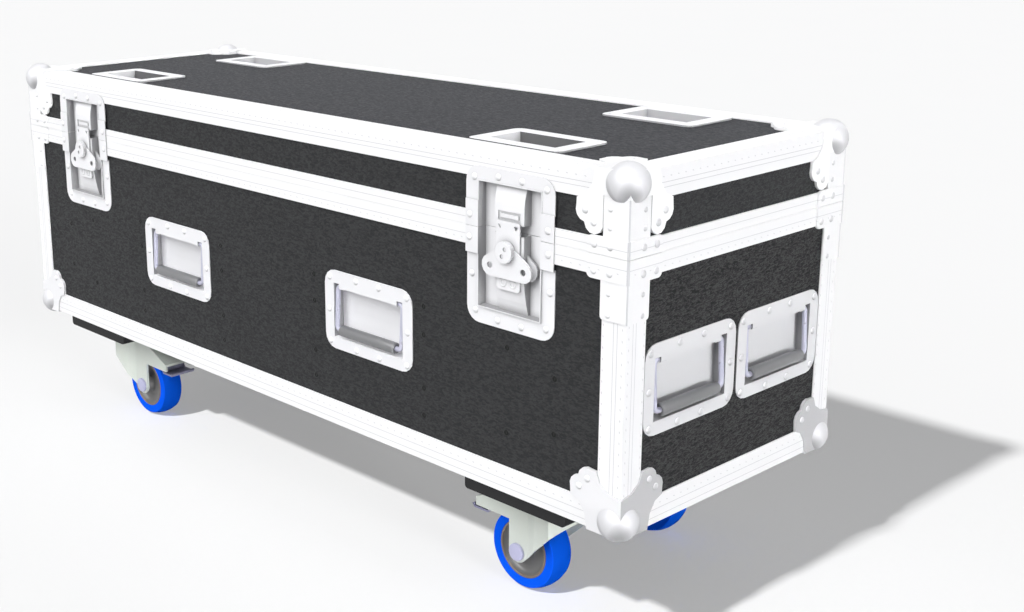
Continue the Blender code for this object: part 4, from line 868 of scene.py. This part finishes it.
# %% Bars and grips on all six handles
GRIP = [(0.0031, 0.0492), (0.0052, 0.0495), (0.0064, 0.0488), (0.0070, 0.0472), (0.0070, 0.0),
        (0.0070, -0.0472), (0.0064, -0.0488), (0.0052, -0.0495), (0.0031, -0.0492)]
for wall, which, along in HANDLES:
    node = f"handle_bail_{wall}_{which}"
    pivot = wall_matrix(wall, along, HANDLE_Z + PIVOT_UP) @ Matrix.Translation((0, PIVOT_IN, 0))
    points, quads = swept(bail_path(), BAR_RADIUS, 14)
    bar = add(f"bail_bar_{wall}_{which}", (placed(points, pivot), quads), "bar", node, 50)
    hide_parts(node)
    points, quads = lathe(GRIP, 28)
    turn = pivot @ Matrix.Translation((0, -LEAN, -DROP)) @ Matrix.Rotation(math.pi / 2, 4, "Y")
    add(f"bail_grip_{wall}_{which}", (placed(points, turn), quads), "grip", node, 50)
print("handles", len(HANDLES))

# %% [markdown]
# ## Tyres, hubs and axle bolts
# The wheels are moulded, with a blue tyre on a grey hub and a thin ring between them. All three are
# round, so a few points of profile each are enough, and half of it serves both sides. The tyre has a flat
# band on each flank, a crease, and a tread that rises from both creases to the middle. The hub is a bowl
# on each side of a web. A bolt head closes each axle and rides on the fork.

# %% Profiles of the wheel
TYRE = [(0.0352, 0.0150), (0.0360, 0.0158), (0.0458, 0.0160), (0.0470, 0.0154), (0.0494, 0.0075),
        (0.0500, 0.0)]
HUB = [(0.0063, 0.0200), (0.0115, 0.0200), (0.0125, 0.0190), (0.0135, 0.0110), (0.0190, 0.0085),
       (0.0260, 0.0085), (0.0300, 0.0105), (0.0322, 0.0148)]
RIM = [(0.0318, 0.0130), (0.0322, 0.0155), (0.0330, 0.0162), (0.0345, 0.0162), (0.0354, 0.0155),
       (0.0354, 0.0130)]
BOLT = lathe([(0.0, 0.0005), (0.0090, 0.0005), (0.0104, 0.0001), (0.0107, -0.0006), (0.0107, -0.0030)], 32)
AXLE = (0.438 - 0.0395, 0.112, 0.05)    # the wheels trail inwards from their swivels
BOLT_OUT = 0.0285           # from the wheel's middle out to a bolt's head


def mirrored(half):
    """A (radius, half width) profile on the wheel's other side: in reverse order, widths times minus one."""
    return np.array(half)[::-1] * (1, -1)


def both_sides(half):
    """A profile from one side of the wheel to the other."""
    return np.vstack((half, mirrored(half)))


print("wheel radius", TYRE[-1][0])

# %% Four wheels and their axles
for sx, sy, where in ((-1, -1, "front_left"), (1, -1, "front_right"),
                      (-1, 1, "rear_left"), (1, 1, "rear_right")):
    node = "castor_wheel_" + where
    centre = (sx * AXLE[0], sy * AXLE[1], AXLE[2])
    axle = Matrix.Translation(centre) @ Matrix.Rotation(math.pi / 2, 4, "X")
    points, quads = lathe(both_sides(TYRE), 96)
    tyre = add("tyre_" + where, (placed(points, axle), quads), "tyre", node, 12)
    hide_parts(node)
    points, quads = lathe(both_sides(HUB), 64)
    add("hub_" + where, (placed(points, axle), quads), "hub", node, 40)
    points, quads = gathered([lathe(RIM, 64), lathe(mirrored(RIM), 64)])
    add("rim_" + where, (placed(points, axle), quads), "rim", node, 40)
    ends = [axle @ Matrix.Rotation(turn, 4, "X") @ Matrix.Translation((0, 0, BOLT_OUT))
            for turn in (0.0, math.pi)]
    add("axle_bolts_" + where, many(BOLT, ends), "bolt", "castor_fork_" + where, 30)
print("wheels", len(CORNERS))

# %% [markdown]
# ## Ball corners, smooth
# The ball is pressed out of the corner's plate and plated bright. In the solid it is coarse, and
# smoothing the solid would round its flat leaves as well. So a finer ball lies over it, a hair larger,
# and what would reach into the case is left off.

# %% A sphere, and the part of it that shows
BALL_RADIUS = 0.02208
BALL_INSET = 0.0127         # the ball's middle lies this far behind all three outer planes
BALL_DEPTH = 0.004          # how deep behind those planes its surface is kept
BALL_RINGS = 28
BALL_SIDES = 48


def ball(radius, rings, sides):
    """A sphere: ring angles from pole to pole, radius times sine out and radius times cosine along."""
    t = np.linspace(0.0, math.pi, rings)
    return lathe(np.column_stack((radius * np.sin(t), radius * np.cos(t))), sides)


def outer_part(part, level, sign):
    """The faces that don't lie wholly deeper than BALL_DEPTH behind all three outer planes of a corner.

    A point's depth is the smallest of its three distances behind the planes.
    """
    p, q = part
    level_depth = np.minimum(HALF_X - np.abs(p[:, 0]), HALF_Y - np.abs(p[:, 1]))
    depth = np.minimum(level_depth, sign * (p[:, 2] - level))
    shown = (depth[q] < BALL_DEPTH).any(axis=1)
    used, numbers = np.unique(q[shown], return_inverse=True)
    return p[used], numbers.reshape(-1, q.shape[1])


whole_ball = ball(BALL_RADIUS, BALL_RINGS, BALL_SIDES)
print("faces of a ball", len(whole_ball[1]))

# %% Balls on base and lid
for body, level, sign in (("base", BOTTOM, 1), ("lid", TOP, -1)):
    height = level + sign * BALL_INSET
    spots = [Matrix.Translation((sx * (HALF_X - BALL_INSET), sy * (HALF_Y - BALL_INSET), height))
             for sx, sy in CORNERS]
    shells = outer_part(many(whole_ball, spots), level, sign)
    add(body + "_balls", shells, "ball", body)
print("ball corners", 2 * len(CORNERS))

# %% [markdown]
# ## The world
# The case stands in a white studio. A background as white as the picture's would light the case too
# strongly. So the world has two strengths: a soft one that lights, and white where the camera, metal or
# glass sees it.

# %% Rays that show the background
def background_rays(tree):
    """1 for the rays that show the background: straight from the camera, or by way of metal or glass."""
    path = tree.nodes.new("ShaderNodeLightPath")
    glass = path.outputs["Is Transmission Ray"]
    mirror = math_node(tree, "MAXIMUM", path.outputs["Is Glossy Ray"], glass)
    return math_node(tree, "MAXIMUM", path.outputs["Is Camera Ray"], mirror)


def picked(tree, lighting, shown, target):
    """One shader for the light that falls on the object, and another for what the camera sees."""
    pick = tree.nodes.new("ShaderNodeMixShader")
    link(tree, background_rays(tree), pick.inputs[0])
    link(tree, lighting, pick.inputs[1])
    link(tree, shown, pick.inputs[2])
    link(tree, pick.outputs[0], target)


print("helpers: background_rays, picked")

# %% The white world
scene = bpy.context.scene
scene.view_settings.view_transform = "Standard"
world = bpy.data.worlds.new("studio")
scene.world = world
world.use_nodes = True
tree = world.node_tree
tree.nodes.clear()
out = tree.nodes.new("ShaderNodeOutputWorld")
glow = tree.nodes.new("ShaderNodeBackground")
glow.inputs["Color"].default_value = (0.98, 0.985, 1.0, 1)
glow.inputs["Strength"].default_value = 0.42
seen = tree.nodes.new("ShaderNodeBackground")
seen.inputs["Color"].default_value = (0.98, 0.98, 0.98, 1)
picked(tree, glow.outputs[0], seen.outputs[0], out.inputs["Surface"])
print("world", world.name)

# %% [markdown]
# ## The lamps
# Softboxes could be built as area lamps, but suns light every place alike and need no place of their own.
# The main light comes from the front and above, with a level fill from the right. The floor takes a sharp
# sun, for its clear shadow. Everything else takes a soft one from the same side, nearly as strong,
# because the case shows hardly any shadow on itself.

# %% Three suns
def sun_lamp(name, energy, towards, angle):
    """A sun that shines in a direction; its angle makes shadows soft."""
    data = bpy.data.lights.new(name, "SUN")
    data.energy = energy
    data.angle = math.radians(angle)
    thing = bpy.data.objects.new(name, data)
    thing.rotation_euler = Vector(towards).to_track_quat("-Z", "Y").to_euler()
    scene.collection.objects.link(thing)
    return thing


FROM_THE_FRONT = (0.012, 0.98, -1.0)
FROM_THE_RIGHT = (-1.0, 0.12, -0.09)
sun = sun_lamp("sun", 3.35, FROM_THE_FRONT, 3)
soft_sun = sun_lamp("soft_sun", 3.2, FROM_THE_FRONT, 60)
sun_lamp("side_light", 2.55, FROM_THE_RIGHT, 20)

# %% [markdown]
# ## The floor
# A pale plain floor runs off to the horizon. Under and beside the case, where little of the sky is open,
# a little glow keeps the shadow as light as in a studio with white walls. A brighter world would do that
# too, but it would also flatten the case. Towards the object the floor only sends back a middle grey.

# %% A floor that glows a little
FLOOR_REACH = 40.0
SKY_REACH = 0.5             # what stands within this distance hides the sky
GLOW_OPEN = 0.094           # strength in the open, and what comes on top where no sky is seen
GLOW_CLOSED = 0.20
square = [(-1, -1), (1, -1), (1, 1), (-1, 1)]
floor_mesh = bpy.data.meshes.new("floor")
floor_mesh.from_pydata([(FLOOR_REACH * a, FLOOR_REACH * b, 0) for a, b in square], [], [(0, 1, 2, 3)])
floor = bpy.data.objects.new("floor", floor_mesh)
scene.collection.objects.link(floor)
material, tree, shader, place = new_material("floor_paper")
tint = noise(tree, place, 3.0)
link(tree, mixed(tree, tint, grey(0.683), grey(0.689)), shader.inputs["Base Color"])
shader.inputs["Roughness"].default_value = 0.9
shader.inputs["Specular IOR Level"].default_value = 0.0
shader.inputs["Emission Color"].default_value = (1, 1, 1, 1)
sky = tree.nodes.new("ShaderNodeAmbientOcclusion")
sky.samples = 8
sky.inputs["Distance"].default_value = SKY_REACH
closed = math_node(tree, "SUBTRACT", 1.0, sky.outputs["AO"])
strength = math_node(tree, "MULTIPLY_ADD", closed, GLOW_CLOSED, GLOW_OPEN)
link(tree, strength, shader.inputs["Emission Strength"])
bounce = tree.nodes.new("ShaderNodeBsdfDiffuse")
bounce.inputs["Color"].default_value = (0.45, 0.45, 0.45, 1)
picked(tree, bounce.outputs[0], shader.outputs[0], tree.nodes["Material Output"].inputs["Surface"])
floor_mesh.materials.append(material)
print("floor", 2 * FLOOR_REACH)

# %% [markdown]
# ## Who takes which sun
# Light linking gives each sun its receivers: the floor for the sharp one, and every other mesh for the
# soft one. Without it, one sun would have to be sharp or soft for both.

# %% Two groups of receivers
paper = bpy.data.collections.new("paper")
paper.objects.link(floor)
model = bpy.data.collections.new("model")
for thing in scene.objects:
    if thing.type == "MESH" and thing is not floor:
        model.objects.link(thing)
sun.light_linking.receiver_collection = paper
soft_sun.light_linking.receiver_collection = model

# %% [markdown]
# ## The camera
# It stands at the photograph's place. A camera set by eye leaves every edge a little off, so place,
# direction and lens were solved from the case's straight edges.

# %% Place and lens
eye = bpy.data.cameras.new("camera")
eye.sensor_width = 36.0
eye.lens = 50.41
eye.shift_x = 0.1259
eye.shift_y = -0.0478
eye.clip_end = 200.0
camera = bpy.data.objects.new("camera", eye)
camera.location = (1.43776, -1.26807, 0.80518)
camera.rotation_euler = (1.315557, 0.012303, 0.839060)
scene.collection.objects.link(camera)
scene.camera = camera
print("lens", eye.lens)
